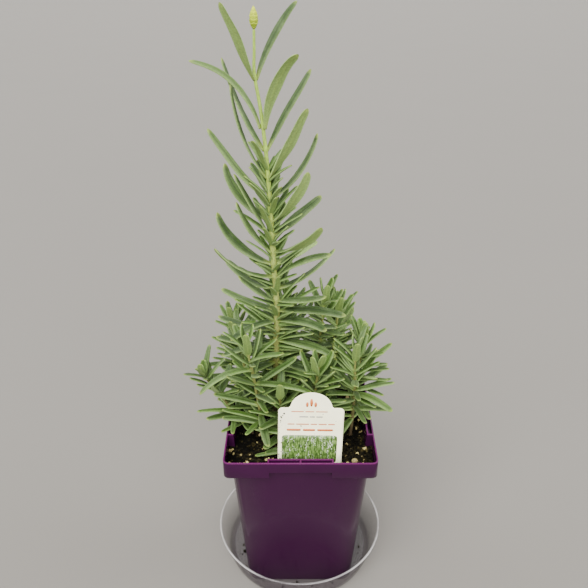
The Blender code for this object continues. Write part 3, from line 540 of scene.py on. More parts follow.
def leaf_surface(surfaces, leaf, rows, columns, shade, youth, rooted=2.2 * MM, slot=0, fuller=1.0):
    """A lavender leaf.  Along it the width follows leaf_half_width.  Round each section, at the angle t,
    the point lies cos t half-widths across.  The upper side is two long cushions, as high as sin t to the
    power 0.6, with a narrow groove between them over the midrib.  The lower side is flatter, with the
    midrib's ridge.  The margins roll under with the fourth power of cos t.  Small ripples run across the
    cushions.  The foot runs on into the stem."""
    s = 1 - (1 - np.linspace(0, 0.995, rows)) ** 1.6
    centre, side, up = leaf_frames(leaf, [*s, 1.0])
    tip = centre[-1]
    centre, side, up = centre[:-1], side[:-1], up[:-1]
    way = np.cross(side, up)
    phase = 17.0 * shade
    half = np.maximum(leaf_half_width(s, leaf[5] * fuller), 0.05 * MM)
    half = half * (1 + 0.05 * np.sin(8 * s + phase) * np.sin(np.pi * s))
    body = LEAF_THICK / 2 * (1 - 0.3 * s) * np.clip(np.sqrt(1.0001 - s) * 4.5, 0.12, 1)
    body = body * np.clip(half / (0.2 * leaf[5]), 0.3, 1)
    sway = leaf[4] * 0.014 * np.sin(2 * np.pi * s * (0.8 + 0.4 * shade) + phase) * s
    centre = centre + side * sway[:, None]
    centre = np.vstack([centre[0] - way[0] * rooted, centre[0] - way[0] * rooted * 0.5, centre])
    side, up = np.vstack([side[:1], side[:1], side]), np.vstack([up[:1], up[:1], up])
    half = np.concatenate([half[:1] * 0.7, half[:1] * 0.85, half])
    body = np.concatenate([body[:1] * 0.8, body[:1], body])
    s = np.concatenate([[0, 0], s])
    t = around(columns)
    x, y = np.cos(t), np.sin(t)
    cushion = np.abs(y) ** 0.6
    ripple = 0.12 * np.sin(leaf[4] / MM * 2.4 * s[:, None] + 3 * np.abs(x) + phase) * cushion
    upper = cushion * 1.15 - 1.25 * np.exp(-((x / 0.17) ** 2)) + ripple
    lower = -cushion * (0.45 + 0.65 * np.abs(x)) - 0.5 * np.exp(-((x / 0.15) ** 2)) + 0.6 * ripple
    lift = np.where(y >= 0, upper, lower)
    roll = 0.14 * np.abs(x) ** 1.5 - 0.34 * x**4
    rings = (centre[:, None] + side[:, None] * (half[:, None] * x)[..., None]
             + up[:, None] * (body[:, None] * lift + half[:, None] * roll)[..., None])
    surfaces.add(rings, centre[0], tip, slot,
                 along=np.repeat(s[:, None], columns, 1), across=np.repeat(x[None], len(s), 0),
                 upper=np.repeat(0.5 + 0.5 * np.clip(y * 2.5, -1, 1)[None], len(s), 0),
                 shade=shade, youth=youth)


def finer_route(points, radii, step):
    """The stem's centres and radii again, on a smooth curve with a point about every step."""
    rows = np.column_stack([points, radii])
    spans = max(1, int(round(np.linalg.norm(points[-1] - points[0]) / step / (len(points) - 1))))
    fine = smooth_route(rows, spans)
    return fine[:, :3], fine[:, 3]


def stem_surface(surfaces, points, radii, step, columns, joints):
    """A stem: rings about a smooth route, faintly four-sided, each a little fuller at the heights in joints,
    where leaves sit, by a bell curve 1.5 mm wide."""
    centre, radius = finer_route(points, radii, step)
    for z in joints:
        radius = radius * (1 + 0.22 * np.exp(-(((centre[:, 2] - z) / (1.5 * MM)) ** 2)))
    t = around(columns)
    shape = radius[:, None] * (1 + 0.05 * np.cos(4 * t + centre[:, 2:] * 60))
    rings = centre[:, None] + np.stack([shape * np.cos(t), shape * np.sin(t), np.zeros_like(shape)], -1)
    height = (centre[:, 2] - SOIL_TOP) / (MAIN_STEM[-1][2] * MM)
    surfaces.add(rings, centre[0], centre[-1] + (0, 0, radius[-1] * 0.5),
                 height=np.repeat(height[:, None], columns, 1))


LEAF_NUMBERS = ("along", "across", "upper", "shade", "youth", "height")

# How pale a leaf of the tall stem is: 0 deep green, 1 grey and pale.  The others fall between at random
PALENESS = {
    "leaf_01_left": 0.97, "leaf_01_right": 0.15, "leaf_02_left": 0.80, "leaf_02_right": 1.0,
    "leaf_03_left": 0.35, "leaf_03_right": 0.40, "leaf_04_left": 0.10, "leaf_04_right": 1.0,
    "leaf_05_left": 0.75, "leaf_05_right": 0.30, "leaf_06_left": 0.55, "leaf_06_right": 0.85,
    "leaf_07_left": 0.30, "leaf_08_right": 0.50, "leaf_09_right": 0.95,
}
# How much paler a shoot's leaves are: partly their own tone, partly painted light and shade, the right-hand
# and back shoots lighter, the front ones left darker
SHOOT_PALENESS_AND_PAINTED_LIGHT = {
    "shoot_right": 0.48, "shoot_right_tall": 0.50, "shoot_back_right": 0.50, "shoot_inner_right": 0.15,
    "shoot_right_front": 0.25, "shoot_left": 0.10, "shoot_left_tall": 0.10,
}
# How much broader a leaf is drawn than it grew: the tall stem's below its topmost ones, and the shoots'
TOP_LEAVES = 10
LOWER_FULLER = 1.15
SHOOT_FULLER = 1.05


def build_main_leaves(main, leaf_felt):
    """The tall stem's single leaves, each a piece of its own, the lower ones a little broader."""
    for number, (name, leaf) in enumerate(main):
        surfaces = Surfaces(*LEAF_NUMBERS)
        level = 1 - number / len(main)
        dice = DICE.random(2)
        shade = PALENESS.get(name, 0.05 + 0.6 * dice[0])
        leaf_surface(surfaces, leaf, 40, 26, shade, 0.12 * level + 0.08 * dice[1],
                     fuller=1.0 if number < TOP_LEAVES else LOWER_FULLER)
        obj = surfaces.make(f"lavender_{name}", leaf_felt)
        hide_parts(name)


def extra_leaves(surfaces, thicket, owner, route, radii, heights, azimuths, sizes, rises, width):
    """Young leaves at these heights of a stem, each grown clear of what is there and left out where it
    can't be."""
    for z, azimuth, size, rise in zip(heights, azimuths, sizes, rises):
        centre, _ = at_height(route, radii, z)
        leaf = (centre, azimuth, rise, -18, size, width, 0)
        leaf = grow_leaf(thicket, owner, leaf, SMALL_LEAF_STATIONS, joined=True)
        if leaf:
            shade, youth = 0.7 * DICE.random(), 0.3 + 0.5 * DICE.random()
            leaf_surface(surfaces, leaf, 12, 12, shade, youth, rooted=0, slot=1)


def build_main_stem(thicket, young, stem_bark, leaf_felt):
    """The tall stem with the young leaves of its axils, and more of them strewn up it at random."""
    points, radii = main_stem_route()
    heights = [SOIL_TOP + row[0] * MM for row in MAIN_PAIRS]
    surfaces = Surfaces(*LEAF_NUMBERS)
    stem_surface(surfaces, points, radii, 1.2 * MM, 20, heights)
    for leaf in young:
        leaf_surface(surfaces, leaf, 12, 12, DICE.random(), 0.55 + 0.3 * DICE.random(), rooted=0, slot=1)
    count = STEM_EXTRA_LEAVES
    level = DICE.random(count)
    beside = 320 + 260 * DICE.random(count)  # round the back, so that the stem shows in front
    extra_leaves(
        surfaces, thicket, "main_stem", points, radii,
        SOIL_TOP + (14 + 196 * level) * MM, beside,
        (36 - 14 * level) * (0.7 + 0.6 * DICE.random(count)) * MM, 14 + 42 * level + 22 * DICE.random(count),
        4.9 * MM)
    obj = surfaces.make("lavender_main_stem", stem_bark, leaf_felt)
    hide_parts("main_stem")


def build_shoots(thicket, shoots, stem_bark, leaf_felt):
    """Each side shoot as one piece: its stem, its pairs of leaves, and young leaves strewn up it at
    random."""
    for name, (route, radii, leaves) in shoots.items():
        surfaces = Surfaces(*LEAF_NUMBERS)
        stem_surface(surfaces, route, radii, 1.5 * MM, 14, [leaf[0][2] for leaf in leaves[::2]])
        low, high = route[1, 2], route[-1, 2]
        for leaf in leaves:
            level = (leaf[0][2] - low) / (high - low)
            # partly painted light and shade: each shoot's leaves lightened by its own offset
            shade = np.clip(DICE.random() * 0.62 + SHOOT_PALENESS_AND_PAINTED_LIGHT.get(name, 0), 0, 1)
            leaf_surface(surfaces, leaf, 18, 16, shade, 0.15 + 0.6 * level**2,
                         rooted=0, slot=1, fuller=SHOOT_FULLER)
        count = SHOOT_EXTRA_LEAVES
        level = DICE.random(count)
        extra_leaves(
            surfaces, thicket, name, route, radii,
            low + (high - low) * (0.2 + 0.78 * level), DICE.random(count) * 360,
            (32 - 10 * level) * (0.75 + 0.4 * DICE.random(count)) * MM, 10 + 50 * level, 4.4 * MM)
        obj = surfaces.make(f"lavender_{name}", stem_bark, leaf_felt)
        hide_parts(name)


def build_bud(bud_scales):
    """A pointed bud of overlapping bracts.  Its radius follows the sine of the height to a power, and each
    of six tiers of four bracts swells it by a rounded step that ends in a point between the bracts of the
    tier above."""
    low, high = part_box("flower_bud")
    middle = (Vector(low) + Vector(high)) / 2
    rows, columns = 90, 64
    h = np.linspace(0, 1, rows)[:, None]
    t = around(columns)[None]
    outline = np.sin(np.pi * np.clip(h, 0.02, 0.985) ** 0.82) ** 0.75
    tier = h * 6 + 0.42 * np.abs(np.cos(2 * t + np.pi / 2 * np.floor(h * 6)))
    step = tier - np.floor(tier)
    swell = 0.80 + 0.20 * np.sqrt(step) * np.clip((1 - step) * 9, 0, 1)
    radius = (high[0] - low[0]) / 2.2 * outline * swell
    z = low[2] + h * (high[2] - low[2]) + 0 * t
    rings = np.stack([middle.x + radius * np.cos(t), middle.y + radius * np.sin(t), z], -1)
    surfaces = Surfaces("along", "across")
    surfaces.add(rings, np.array([middle.x, middle.y, low[2]]), np.array([middle.x, middle.y, high[2]]),
                 along=h + 0 * t, across=step)
    obj = surfaces.make("lavender_bud", bud_scales)
    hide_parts("flower_bud")


# ---------------------------------------------------------------- pot, saucer, label, mix

def build_pot(purple_plastic):
    """The pot node's own shape, with double corners merged and its edges rounded by a small Bevel."""
    obj = bpy.data.objects.new("pot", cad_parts["nursery_pot"].data.copy())
    bpy.context.scene.collection.objects.link(obj)
    obj.data.materials.clear()
    shape = bmesh.new()
    shape.from_mesh(obj.data)
    bmesh.ops.remove_doubles(shape, verts=shape.verts, dist=0.00002)
    bmesh.ops.dissolve_limit(shape, angle_limit=math.radians(1), verts=shape.verts, edges=shape.edges)
    shape.to_mesh(obj.data)
    shape.free()
    edge = obj.modifiers.new("Rounded edges", "BEVEL")
    edge.width, edge.segments, edge.limit_method, edge.angle_limit = POT_EDGE, 2, "ANGLE", math.radians(30)
    edge.harden_normals = True
    obj.data.polygons.foreach_set("use_smooth", np.ones(len(obj.data.polygons), bool))
    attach(obj, "root")
    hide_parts("nursery_pot")
    obj.data.materials.append(purple_plastic)


def build_saucer(clear_plastic):
    """A dish turned round the pot's axis: a profile of floor, heel, flared wall and rolled edge, and back
    inside."""
    r, f, h, w, b = SAUCER_RIM_RADIUS, SAUCER_FLOOR_RADIUS, SAUCER_HEIGHT, SAUCER_WALL, SAUCER_BEAD
    turn = np.radians(np.linspace(0, 72, 9))
    under = [(0.6 * f * k, 0) for k in (0.02, 0.5, 1)]
    under += [(f - SAUCER_HEEL + SAUCER_HEEL * math.sin(a), SAUCER_HEEL * (1 - math.cos(a))) for a in turn]
    foot = under[-1]
    out, up = r - w - foot[0], h - 2 * b - foot[1]
    wall = [(foot[0] + out * k, foot[1] + up * k) for k in np.linspace(0.1, 1, 12)]
    bead = [(r - w + b * math.cos(a), h - b + b * math.sin(a)) for a in np.radians(np.linspace(-60, 180, 11))]
    thin = 0.9 * w
    inside = [(x - thin, z) for x, z in wall[::-1]]
    heel = SAUCER_HEEL - w
    inner = [(f - SAUCER_HEEL + heel * math.sin(a), w + heel * (1 - math.cos(a))) for a in turn[::-1]]
    profile = np.array([*under, *wall, *bead, *inside[1:], *inner, (0.6 * f, w), (0.02 * f, w)])
    columns = 160
    t = around(columns)
    rings = np.stack([profile[:, :1] * np.cos(t), profile[:, :1] * np.sin(t), profile[:, 1:] + 0 * t], -1)
    surfaces = Surfaces("height")
    surfaces.add(rings, np.array([0, 0, 0.0]), np.array([0, 0, w]), height=profile[:, 1:] / h + 0 * t)
    obj = surfaces.make("saucer", clear_plastic)
    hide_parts("drip_saucer")


def lattice_noise(x, y, cell, seed):
    """Random heights on a square lattice, blended between its points by a smooth step."""
    table = np.random.default_rng(seed).random((64, 64))
    u, v = x / cell + 31.7, y / cell + 17.3
    i, k = np.floor(u).astype(int), np.floor(v).astype(int)
    a, b = u - i, v - k
    a, b = a * a * (3 - 2 * a), b * b * (3 - 2 * b)

    def pick(m, n):
        return table[(i + m) % 64, (k + n) % 64]

    return (pick(0, 0) * (1 - a) + pick(1, 0) * a) * (1 - b) + (pick(0, 1) * (1 - a) + pick(1, 1) * a) * b


def mix_height(x, y):
    """The mix's surface: the rolling lumps of the whole, plus three sizes of crumb."""
    rough = 2.6 * lattice_noise(x, y, 9 * MM, 3) + 1.6 * lattice_noise(x, y, 3.6 * MM, 4)
    rough = rough + 0.9 * lattice_noise(x, y, 1.3 * MM, 5)
    return SOIL_TOP + soil_lumps(x, y) + (rough - 2.2) * MM


def in_pot(x, y, room):
    """Whether a place is inside the rim: the body's square in the middle of a side, and the whole rim at the
    corners, which are rounded to 3 mm."""
    inner, outer = POT_MOUTH_WIDTH / 2 - POT_WALL - room - 0.8 * MM, POT_RIM_WIDTH / 2 - POT_WALL - room
    corner = POCKET_LENGTH / 2 + POT_WALL + room
    ax, ay = np.abs(x), np.abs(y)
    square = np.maximum(ax, ay) < inner
    ears = (np.minimum(ax, ay) > corner) & (np.maximum(ax, ay) < outer)
    ears &= np.hypot(np.maximum(ax - outer + 3 * MM, 0), np.maximum(ay - outer + 3 * MM, 0)) < 3 * MM
    return square | ears


def build_mix(mix_crumb, bark_flakes):
    """The mix's top is a sheet of heights over a square grid, cut to the pot's inside.  Crumbs are small
    six-sided lumps of random size and turn, strewn over it."""
    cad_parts["potting_mix"].material_slots[0].material = mix_crumb
    line = np.linspace(-SOIL_REACH, SOIL_REACH, SOIL_STEPS)
    x, y = np.meshgrid(line, line, indexing="ij")
    inside = in_pot(x, y, 0.1 * MM)
    z = mix_height(x, y)
    number = np.arange(x.size).reshape(x.shape)
    keep = inside[:-1, :-1] & inside[1:, :-1] & inside[1:, 1:] & inside[:-1, 1:]
    quads = np.stack([number[:-1, :-1], number[1:, :-1], number[1:, 1:], number[:-1, 1:]], -1)[keep]
    used, index = np.unique(quads, return_inverse=True)
    verts = np.stack([x, y, z], -1).reshape(-1, 3)[used]
    obj = new_mesh_object("mix_surface", verts, index.reshape(-1, 4).tolist())
    obj.data.materials.append(mix_crumb)
    thick = obj.modifiers.new("Depth", "SOLIDIFY")
    thick.thickness, thick.offset = SOIL_DEPTH, -1
    add_numbers(obj, "tint", 0.5 + 0 * verts[:, 0])
    scatter_crumbs("mix_crumbs", CRUMB_COUNT, 41, (0.35, 1.25), mix_crumb, 0.0)
    scatter_crumbs("mix_bark", BARK_COUNT, 42, (0.5, 1.5), bark_flakes, 0.25)


def crumb_cages(places, sizes, dice):
    """Small lumps, eight corners each: a squashed box with its corners pushed about and turned at random."""
    n = len(places)
    corners = np.array([(a, b, c) for a in (-1, 1) for b in (-1, 1) for c in (-1, 1)], float)
    shape = corners[None] * (0.75 + 0.5 * dice.random((n, 8, 3)))
    shape = shape * (sizes[:, None] * (0.45 + 0.75 * dice.random((n, 3))))[:, None]
    turn = dice.random((n, 3)) * 2 * np.pi
    round_z, tilt = turn[:, :1], turn[:, 1:2] * 0.15
    x, y, z = shape[..., 0], shape[..., 1], shape[..., 2]
    x, z = x * np.cos(tilt) + z * np.sin(tilt), -x * np.sin(tilt) + z * np.cos(tilt)
    x, y = x * np.cos(round_z) - y * np.sin(round_z), x * np.sin(round_z) + y * np.cos(round_z)
    verts = (np.stack([x, y, z], -1) + places[:, None]).reshape(-1, 3)
    box = np.array([(0, 1, 3, 2), (4, 6, 7, 5), (0, 4, 5, 1), (2, 3, 7, 6), (0, 2, 6, 4), (1, 5, 7, 3)])
    faces = (box[None] + np.arange(n)[:, None, None] * 8).reshape(-1, 4).tolist()
    return verts, faces


def scatter_crumbs(name, count, seed, span, finish, sunk):
    """Lumps strewn evenly over the mix, their sizes (mm) within the span and mostly small, sunk by a share
    of them."""
    dice = np.random.default_rng(seed)
    at = (dice.random((count * 2, 2)) - 0.5) * 111 * MM
    at = at[in_pot(at[:, 0], at[:, 1], 1.4 * MM)][:count]
    sizes = (span[0] + (span[1] - span[0]) * dice.random(len(at)) ** 2.2) * MM
    z = mix_height(at[:, 0], at[:, 1]) + sizes * (0.3 - sunk)
    verts, faces = crumb_cages(np.column_stack([at, z]), sizes, dice)
    obj = new_mesh_object(name, verts, faces)
    obj.data.polygons.foreach_set("use_smooth", np.zeros(len(faces), bool))
    obj.data.materials.append(finish)
    add_numbers(obj, "tint", np.repeat(dice.random(len(at)), 8))


def build_stray_crumbs(mix_crumb):
    """Crumbs of mix that fell into the saucer, most of them at the front, and that cling to the label, most
    of them low down and along its left edge."""
    dice = np.random.default_rng(77)
    count = SAUCER_CRUMB_COUNT
    turn = np.radians(dice.normal(-90, 46, count))
    far = (46 + 9 * dice.random(count)) * MM
    far = np.maximum(far, 45.5 * MM / np.maximum(np.abs(np.cos(turn)), np.abs(np.sin(turn))))
    sizes = (0.25 + 0.75 * dice.random(count) ** 2) * MM
    keep = far < 56 * MM
    places = np.column_stack([far * np.cos(turn), far * np.sin(turn), SAUCER_WALL + sizes * 0.7])[keep]
    cling = LABEL_CRUMB_COUNT
    x = (dice.random(cling) - 0.5) * 0.9 * LABEL_WIDTH
    x[::2] = (-0.49 + 0.07 * dice.random(len(x[::2])) ** 2) * LABEL_WIDTH
    z = 46 * MM * dice.random(cling) ** 1.7 + 2 * MM
    specks = (0.16 + 0.34 * dice.random(cling) ** 2) * MM
    on_sheet = on_label(x, -LABEL_THICK / 2 - specks * 0.4, z)
    places, sizes = np.vstack([places, on_sheet]), np.concatenate([sizes[keep], specks])
    verts, faces = crumb_cages(places, sizes, dice)
    obj = new_mesh_object("stray_crumbs", verts, faces)
    obj.data.materials.append(mix_crumb)
    add_numbers(obj, "tint", np.repeat(dice.random(len(places)), 8))


def build_chips(bark_flakes):
    """Each bark chip fills its node's box: a ball squared off by raising its directions to the power 0.75,
    then swelled and dented by a few waves."""
    for number in range(1, CHIP_COUNT + 1):
        node = f"bark_chip_{number}"
        low, high = (np.array(v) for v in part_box(node))
        rows, columns = 22, 30
        h = np.linspace(0.03, 0.97, rows)[:, None] * np.pi
        t = around(columns)[None]
        way = np.stack([np.sin(h) * np.cos(t), np.sin(h) * np.sin(t), -np.cos(h) + 0 * t], -1)
        lump = np.sign(way) * np.abs(way) ** 0.75
        x, y, z = way[..., :1], way[..., 1:2], way[..., 2:]
        swell = 0.93 + 0.12 * np.sin(7 * x + number) * np.sin(9 * y + 2 * number)
        lump *= swell - 0.06 * np.abs(np.sin(16 * z + x * 3))
        rings = (low + high) / 2 + lump * (high - low) / 2
        surfaces = Surfaces("tint")
        surfaces.add(rings, rings[0].mean(0), rings[-1].mean(0), tint=0.15 + 0.17 * number)
        obj = surfaces.make(f"chip_{number}", bark_flakes)
        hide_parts(node)


def label_half_width(z):
    """Half the label's width at a height above the mix: a point, a taper, straight sides, rounded shoulders
    and an elliptical dome."""
    w, dome, top = LABEL_WIDTH / 2, LABEL_DOME_WIDTH / 2, LABEL_SHOULDER
    drop = LABEL_SHOULDER_DROP
    below = np.interp(z, [-LABEL_BURIED, -LABEL_BURIED + LABEL_POINT * 0.7, -LABEL_BURIED + LABEL_POINT, 0],
                      [0.3 * MM, w * 0.5, w * 0.94, w])
    u = np.clip((z - top + drop) / drop, 0, 1)
    shoulder = w - drop * (1 - np.sqrt(1 - u**2 * 0.98))
    v = np.clip((z - top) / LABEL_DOME_RISE, 0, 1)
    crown = dome * np.sqrt(np.clip(1 - v**2, 0, 1)) + 1.4 * MM * np.exp(-v * 16)
    return np.where(z < 0, below, np.where(z <= top, shoulder, crown))


def on_label(x, y, z):
    """Points of the label's own plane (across, through, up) placed in the world."""
    local = np.stack([x, y, z, np.ones_like(x)], -1)
    return (local @ np.array(label_matrix()).T)[..., :3]


def build_label(label_sheet, inks):
    """The label is a stack of rings, one for each height, each a flat loop round label_half_width."""
    top = LABEL_SHOULDER
    z = np.unique(np.concatenate([
        np.linspace(-LABEL_BURIED, 0, 12), np.linspace(0, top - LABEL_SHOULDER_DROP, 12),
        top - LABEL_SHOULDER_DROP * (1 - np.sin(np.linspace(0, np.pi / 2, 8))),
        top + 0.001 * MM + LABEL_DOME_RISE * np.sin(np.linspace(0, np.pi / 2, 26))]))
    half = label_half_width(z)[:, None]
    across = np.linspace(-1, 1, 25)
    loop = np.concatenate([across, across[::-1]])[None]
    depth = np.repeat([-1.0, 1.0], len(across))[None] * LABEL_THICK / 2
    edge = np.clip((1 - np.abs(loop)) * half / (0.25 * MM), 0, 1) ** 0.5
    rings = on_label(loop * half, depth * (0.55 + 0.45 * edge), z[:, None] + 0 * loop)
    surfaces = Surfaces("height")
    surfaces.add(rings, rings[0].mean(0), rings[-1].mean(0), height=z[:, None] / top + 0 * loop)
    obj = surfaces.make("label", label_sheet)
    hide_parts("plant_label")
    print_label(inks)


def ink_patch(x, z, half_x, half_z, power, rows, columns):
    """A flat printed spot with rounded corners: a superellipse, filled by rings from its middle outwards."""
    t = around(columns)
    c, s = np.cos(t), np.sin(t)
    ring_x, ring_z = np.sign(c) * np.abs(c) ** (2 / power), np.sign(s) * np.abs(s) ** (2 / power)
    share = np.linspace(0.04, 1, rows)[:, None]
    front = -LABEL_THICK / 2 - INK_THICK
    rings = on_label(x + share * ring_x * half_x, front + 0 * share * ring_x, z + share * ring_z * half_z)
    return rings, on_label(np.array([x]), np.array([front]), np.array([z]))[0]


def bars(left, right, z, height, wide, gap):
    """A plain printed rule broken into bars of changing length from left to right, all of one height."""
    dice, spots, x = np.random.default_rng(int(z * 10)), [], left
    while right - x > 0.4 * wide:
        width = min(wide * (0.6 + 0.9 * dice.random()), right - x)
        spots.append((x + width / 2, z, width / 2, height / 2, 5))
        x += width + gap
    return spots


def print_label(inks):
    """Plain printed marks: a sprig of three drops, rules broken into bars, and a picture panel."""
    layouts = {
        "orange": [(0, 55.2, 1.1, 3.4, 2), (-3.0, 53.5, 1.0, 2.2, 2), (3.0, 53.5, 1.0, 2.2, 2),
                   *bars(-14.5, 14.5, 47.4, 0.9, 7.0, 0.9), *bars(-17.0, 17.5, 36.4, 1.0, 8.0, 0.9),
                   *bars(-17.6, 17.8, 31.3, 2.0, 9.0, 1.3)],
        "grey": bars(-8.5, 8.5, 42.9, 1.0, 6.0, 0.9),
        "picture": [(-0.6, 14.0, 20.4, 12.6, 14)],
        "eye": [(-19.5, 45.5, 0.75, 0.75, 2)],
    }
    for name, spots in layouts.items():
        verts, faces, count = [], [], 0
        for x, z, half_x, half_z, power in spots:
            rows, columns = (5, 40) if name == "picture" else (2, 16)
            rings, middle = ink_patch(x * MM, z * MM, half_x * MM, half_z * MM, power, rows, columns)
            verts += [rings.reshape(-1, 3), middle[None]]
            faces += strip_faces(rows, columns, count)
            faces += fan_faces(np.arange(columns) + count, count + rows * columns, True)
            count += rows * columns + 1
        obj = new_mesh_object(f"label_print_{name}", np.vstack(verts), faces)
        obj.data.materials.append(inks[name])
        film = obj.modifiers.new("Film", "SOLIDIFY")
        film.thickness, film.offset = INK_THICK, 1


# ---------------------------------------------------------------- materials

class Graph:
    """Short hand for a node tree: nodes by type, and links by socket name."""

    def __init__(self, tree):
        self.tree = tree

    def feed(self, value, socket):
        """Link an output to the socket, or set the socket to a number or a colour."""
        if isinstance(value, bpy.types.NodeSocket):
            self.tree.links.new(value, socket)
        else:
            socket.default_value = (*value, 1.0) if isinstance(value, tuple) else value

    def node(self, kind, **settings):
        """A new node of the kind, with its settings, and with its inputs given as in_Name."""
        made = self.tree.nodes.new(kind)
        inputs = {}
        for key, value in settings.items():
            if key.startswith("in_"):
                inputs[key[3:]] = value
            else:
                setattr(made, key, value)
        for key, value in inputs.items():
            self.feed(value, made.inputs[key])
        return made

    def math(self, operation, *values, clamp=False):
        made = self.tree.nodes.new("ShaderNodeMath")
        made.operation, made.use_clamp = operation, clamp
        for socket, value in zip(made.inputs, values):
            self.feed(value, socket)
        return made.outputs[0]

    def number(self, name):
        """A number that the mesh holds at each of its points."""
        return self.node("ShaderNodeAttribute", attribute_name=name).outputs["Fac"]

    def place(self):
        """The object's own coordinates."""
        return self.node("ShaderNodeTexCoord").outputs["Object"]

    def stretched(self, place, *scale):
        """The place scaled differently along each axis."""
        made = self.node("ShaderNodeMapping", in_Vector=place)
        made.inputs["Scale"].default_value = scale
        return made.outputs[0]

    def noise(self, vector, scale, detail=3.0, rough=0.55):
        made = self.node("ShaderNodeTexNoise", in_Vector=vector, in_Scale=scale,
                         in_Detail=detail, in_Roughness=rough)
        return made.outputs["Fac"]

    def mix(self, share, a, b, kind="MIX"):
        made = self.tree.nodes.new("ShaderNodeMix")
        made.data_type, made.blend_type = "RGBA", kind
        for index, value in ((0, share), (6, a), (7, b)):
            self.feed(value, made.inputs[index])
        return made.outputs[2]

    def mottle(self, color, noise, *stops):
        """The colour made darker and lighter by a ramp of a noise."""
        return self.mix(1.0, color, self.ramp(noise, *stops), "MULTIPLY")

    def ramp(self, share, *stops):
        """A colour or grey ramp of (position, value) stops."""
        made = self.tree.nodes.new("ShaderNodeValToRGB")
        self.tree.links.new(share, made.inputs[0])
        ramp = made.color_ramp
        while len(ramp.elements) < len(stops):
            ramp.elements.new(0.5)
        for element, (at, value) in zip(ramp.elements, stops):
            element.position = at
            element.color = (*value, 1.0) if isinstance(value, tuple) else (value, value, value, 1.0)
        return made.outputs["Color"]

    def bump(self, height, strength, distance, normal=None):
        made = self.node("ShaderNodeBump", in_Height=height, in_Strength=strength, in_Distance=distance)
        if normal:
            self.tree.links.new(normal, made.inputs["Normal"])
        return made.outputs["Normal"]


def new_material(name, **fixed):
    """A material, its graph and its Principled shader, whose constant settings are given."""
    made = bpy.data.materials.new(name)
    made.use_nodes = True
    shader = made.node_tree.nodes["Principled BSDF"]
    for key, value in fixed.items():
        shader.inputs[key.replace("_", " ")].default_value = value
    return made, Graph(made.node_tree), shader


def link(graph, value, shader, socket):
    """Link a value to the shader's socket of that name."""
    graph.tree.links.new(value, shader.inputs[socket])


def leaf_felt_material():
    """Felted leaf: green above, paler beneath, with pale rolled margins, partly the paler underside and
    partly a painted sheen of the felt, a pale midrib beneath and painted shade along the groove above,
    yellowish at the tip, and pitted all over by fine wrinkles.  Young leaves are brighter."""
    made, g, shader = new_material("leaf_felt", Roughness=0.6, Sheen_Weight=0.06, Sheen_Roughness=0.4,
                                   Specular_IOR_Level=0.3)
    shader.inputs["Sheen Tint"].default_value = (0.80, 0.92, 0.62, 1)
    place = g.place()
    along, across, upper = g.number("along"), g.number("across"), g.number("upper")
    shade, youth = g.number("shade"), g.number("youth")
    felt = g.noise(place, 2400, 3, 0.6)
    wrinkle = g.noise(place, 950, 2, 0.5)
    patches = g.noise(place, 110, 3, 0.5)
    top = g.ramp(shade, (0.0, LEAF_DARK), (0.45, LEAF_MIDDLE), (0.80, LEAF_LIGHT), (1.0, LEAF_PALE))
    top = g.mix(youth, top, LEAF_YOUNG)
    top = g.mix(g.ramp(patches, (0.40, 0.0), (0.70, 0.6)), top, LEAF_GREY)
    under = g.mix(g.math("MULTIPLY", youth, 0.5), LEAF_UNDER, LEAF_YOUNG)
    color = g.mix(upper, under, top)
    away = g.math("ABSOLUTE", across)
    # pale margins: partly the paler underside rolled up there, partly a painted sheen of the felt at the edge
    edge = g.ramp(away, (0.60, 0.0), (0.88, 0.30), (1.0, 0.9))
    color = g.mix(g.math("MULTIPLY", edge, 0.5), color, LEAF_MARGIN_AND_SHEEN)
    # a pale midrib beneath; on the upper side the groove is painted dark, painted shade in the groove
    midrib_and_groove_shade = g.ramp(away, (0.05, 1.0), (0.17, 0.0))
    color = g.mix(g.math("MULTIPLY", midrib_and_groove_shade, 0.55), color, g.mix(upper, LEAF_RIB, LEAF_DARK))
    ends = g.ramp(along, (0.0, 0.8), (0.12, 0.0), (0.93, 0.0), (1.0, 1.0))
    color = g.mix(g.math("MULTIPLY", ends, 0.65), color, LEAF_TIP)
    color = g.mottle(color, wrinkle, (0.36, 0.84), (0.64, 1.14))
    color = g.mottle(color, felt, (0.38, 0.90), (0.62, 1.10))
    link(g, color, shader, "Base Color")
    link(g, g.ramp(felt, (0.3, 0.5), (0.7, 0.72)), shader, "Roughness")
    link(g, g.bump(felt, 0.2, 0.0002, g.bump(wrinkle, 0.3, 0.0004)), shader, "Normal")
    return made


def stem_bark_material():
    """Stem: brown, cracked bark low down, green higher up, yellow-green and hairy at the top."""
    made, g, shader = new_material("stem_bark", Roughness=0.7, Specular_IOR_Level=0.25)
    place = g.place()
    height = g.number("height")
    fibre = g.noise(g.stretched(place, 1.0, 1.0, 0.25), 1400, 4, 0.6)
    uneven = g.math("MULTIPLY", g.math("SUBTRACT", g.noise(place, 90), 0.5), 0.12)
    color = g.ramp(g.math("ADD", height, uneven),
                   (0.02, STEM_WOOD), (0.16, STEM_MIDDLE), (0.38, STEM_GREEN), (0.80, STEM_TOP))
    color = g.mottle(color, fibre, (0.35, 0.72), (0.65, 1.15))
    link(g, color, shader, "Base Color")
    link(g, g.bump(fibre, 0.5, 0.0005), shader, "Normal")
    return made


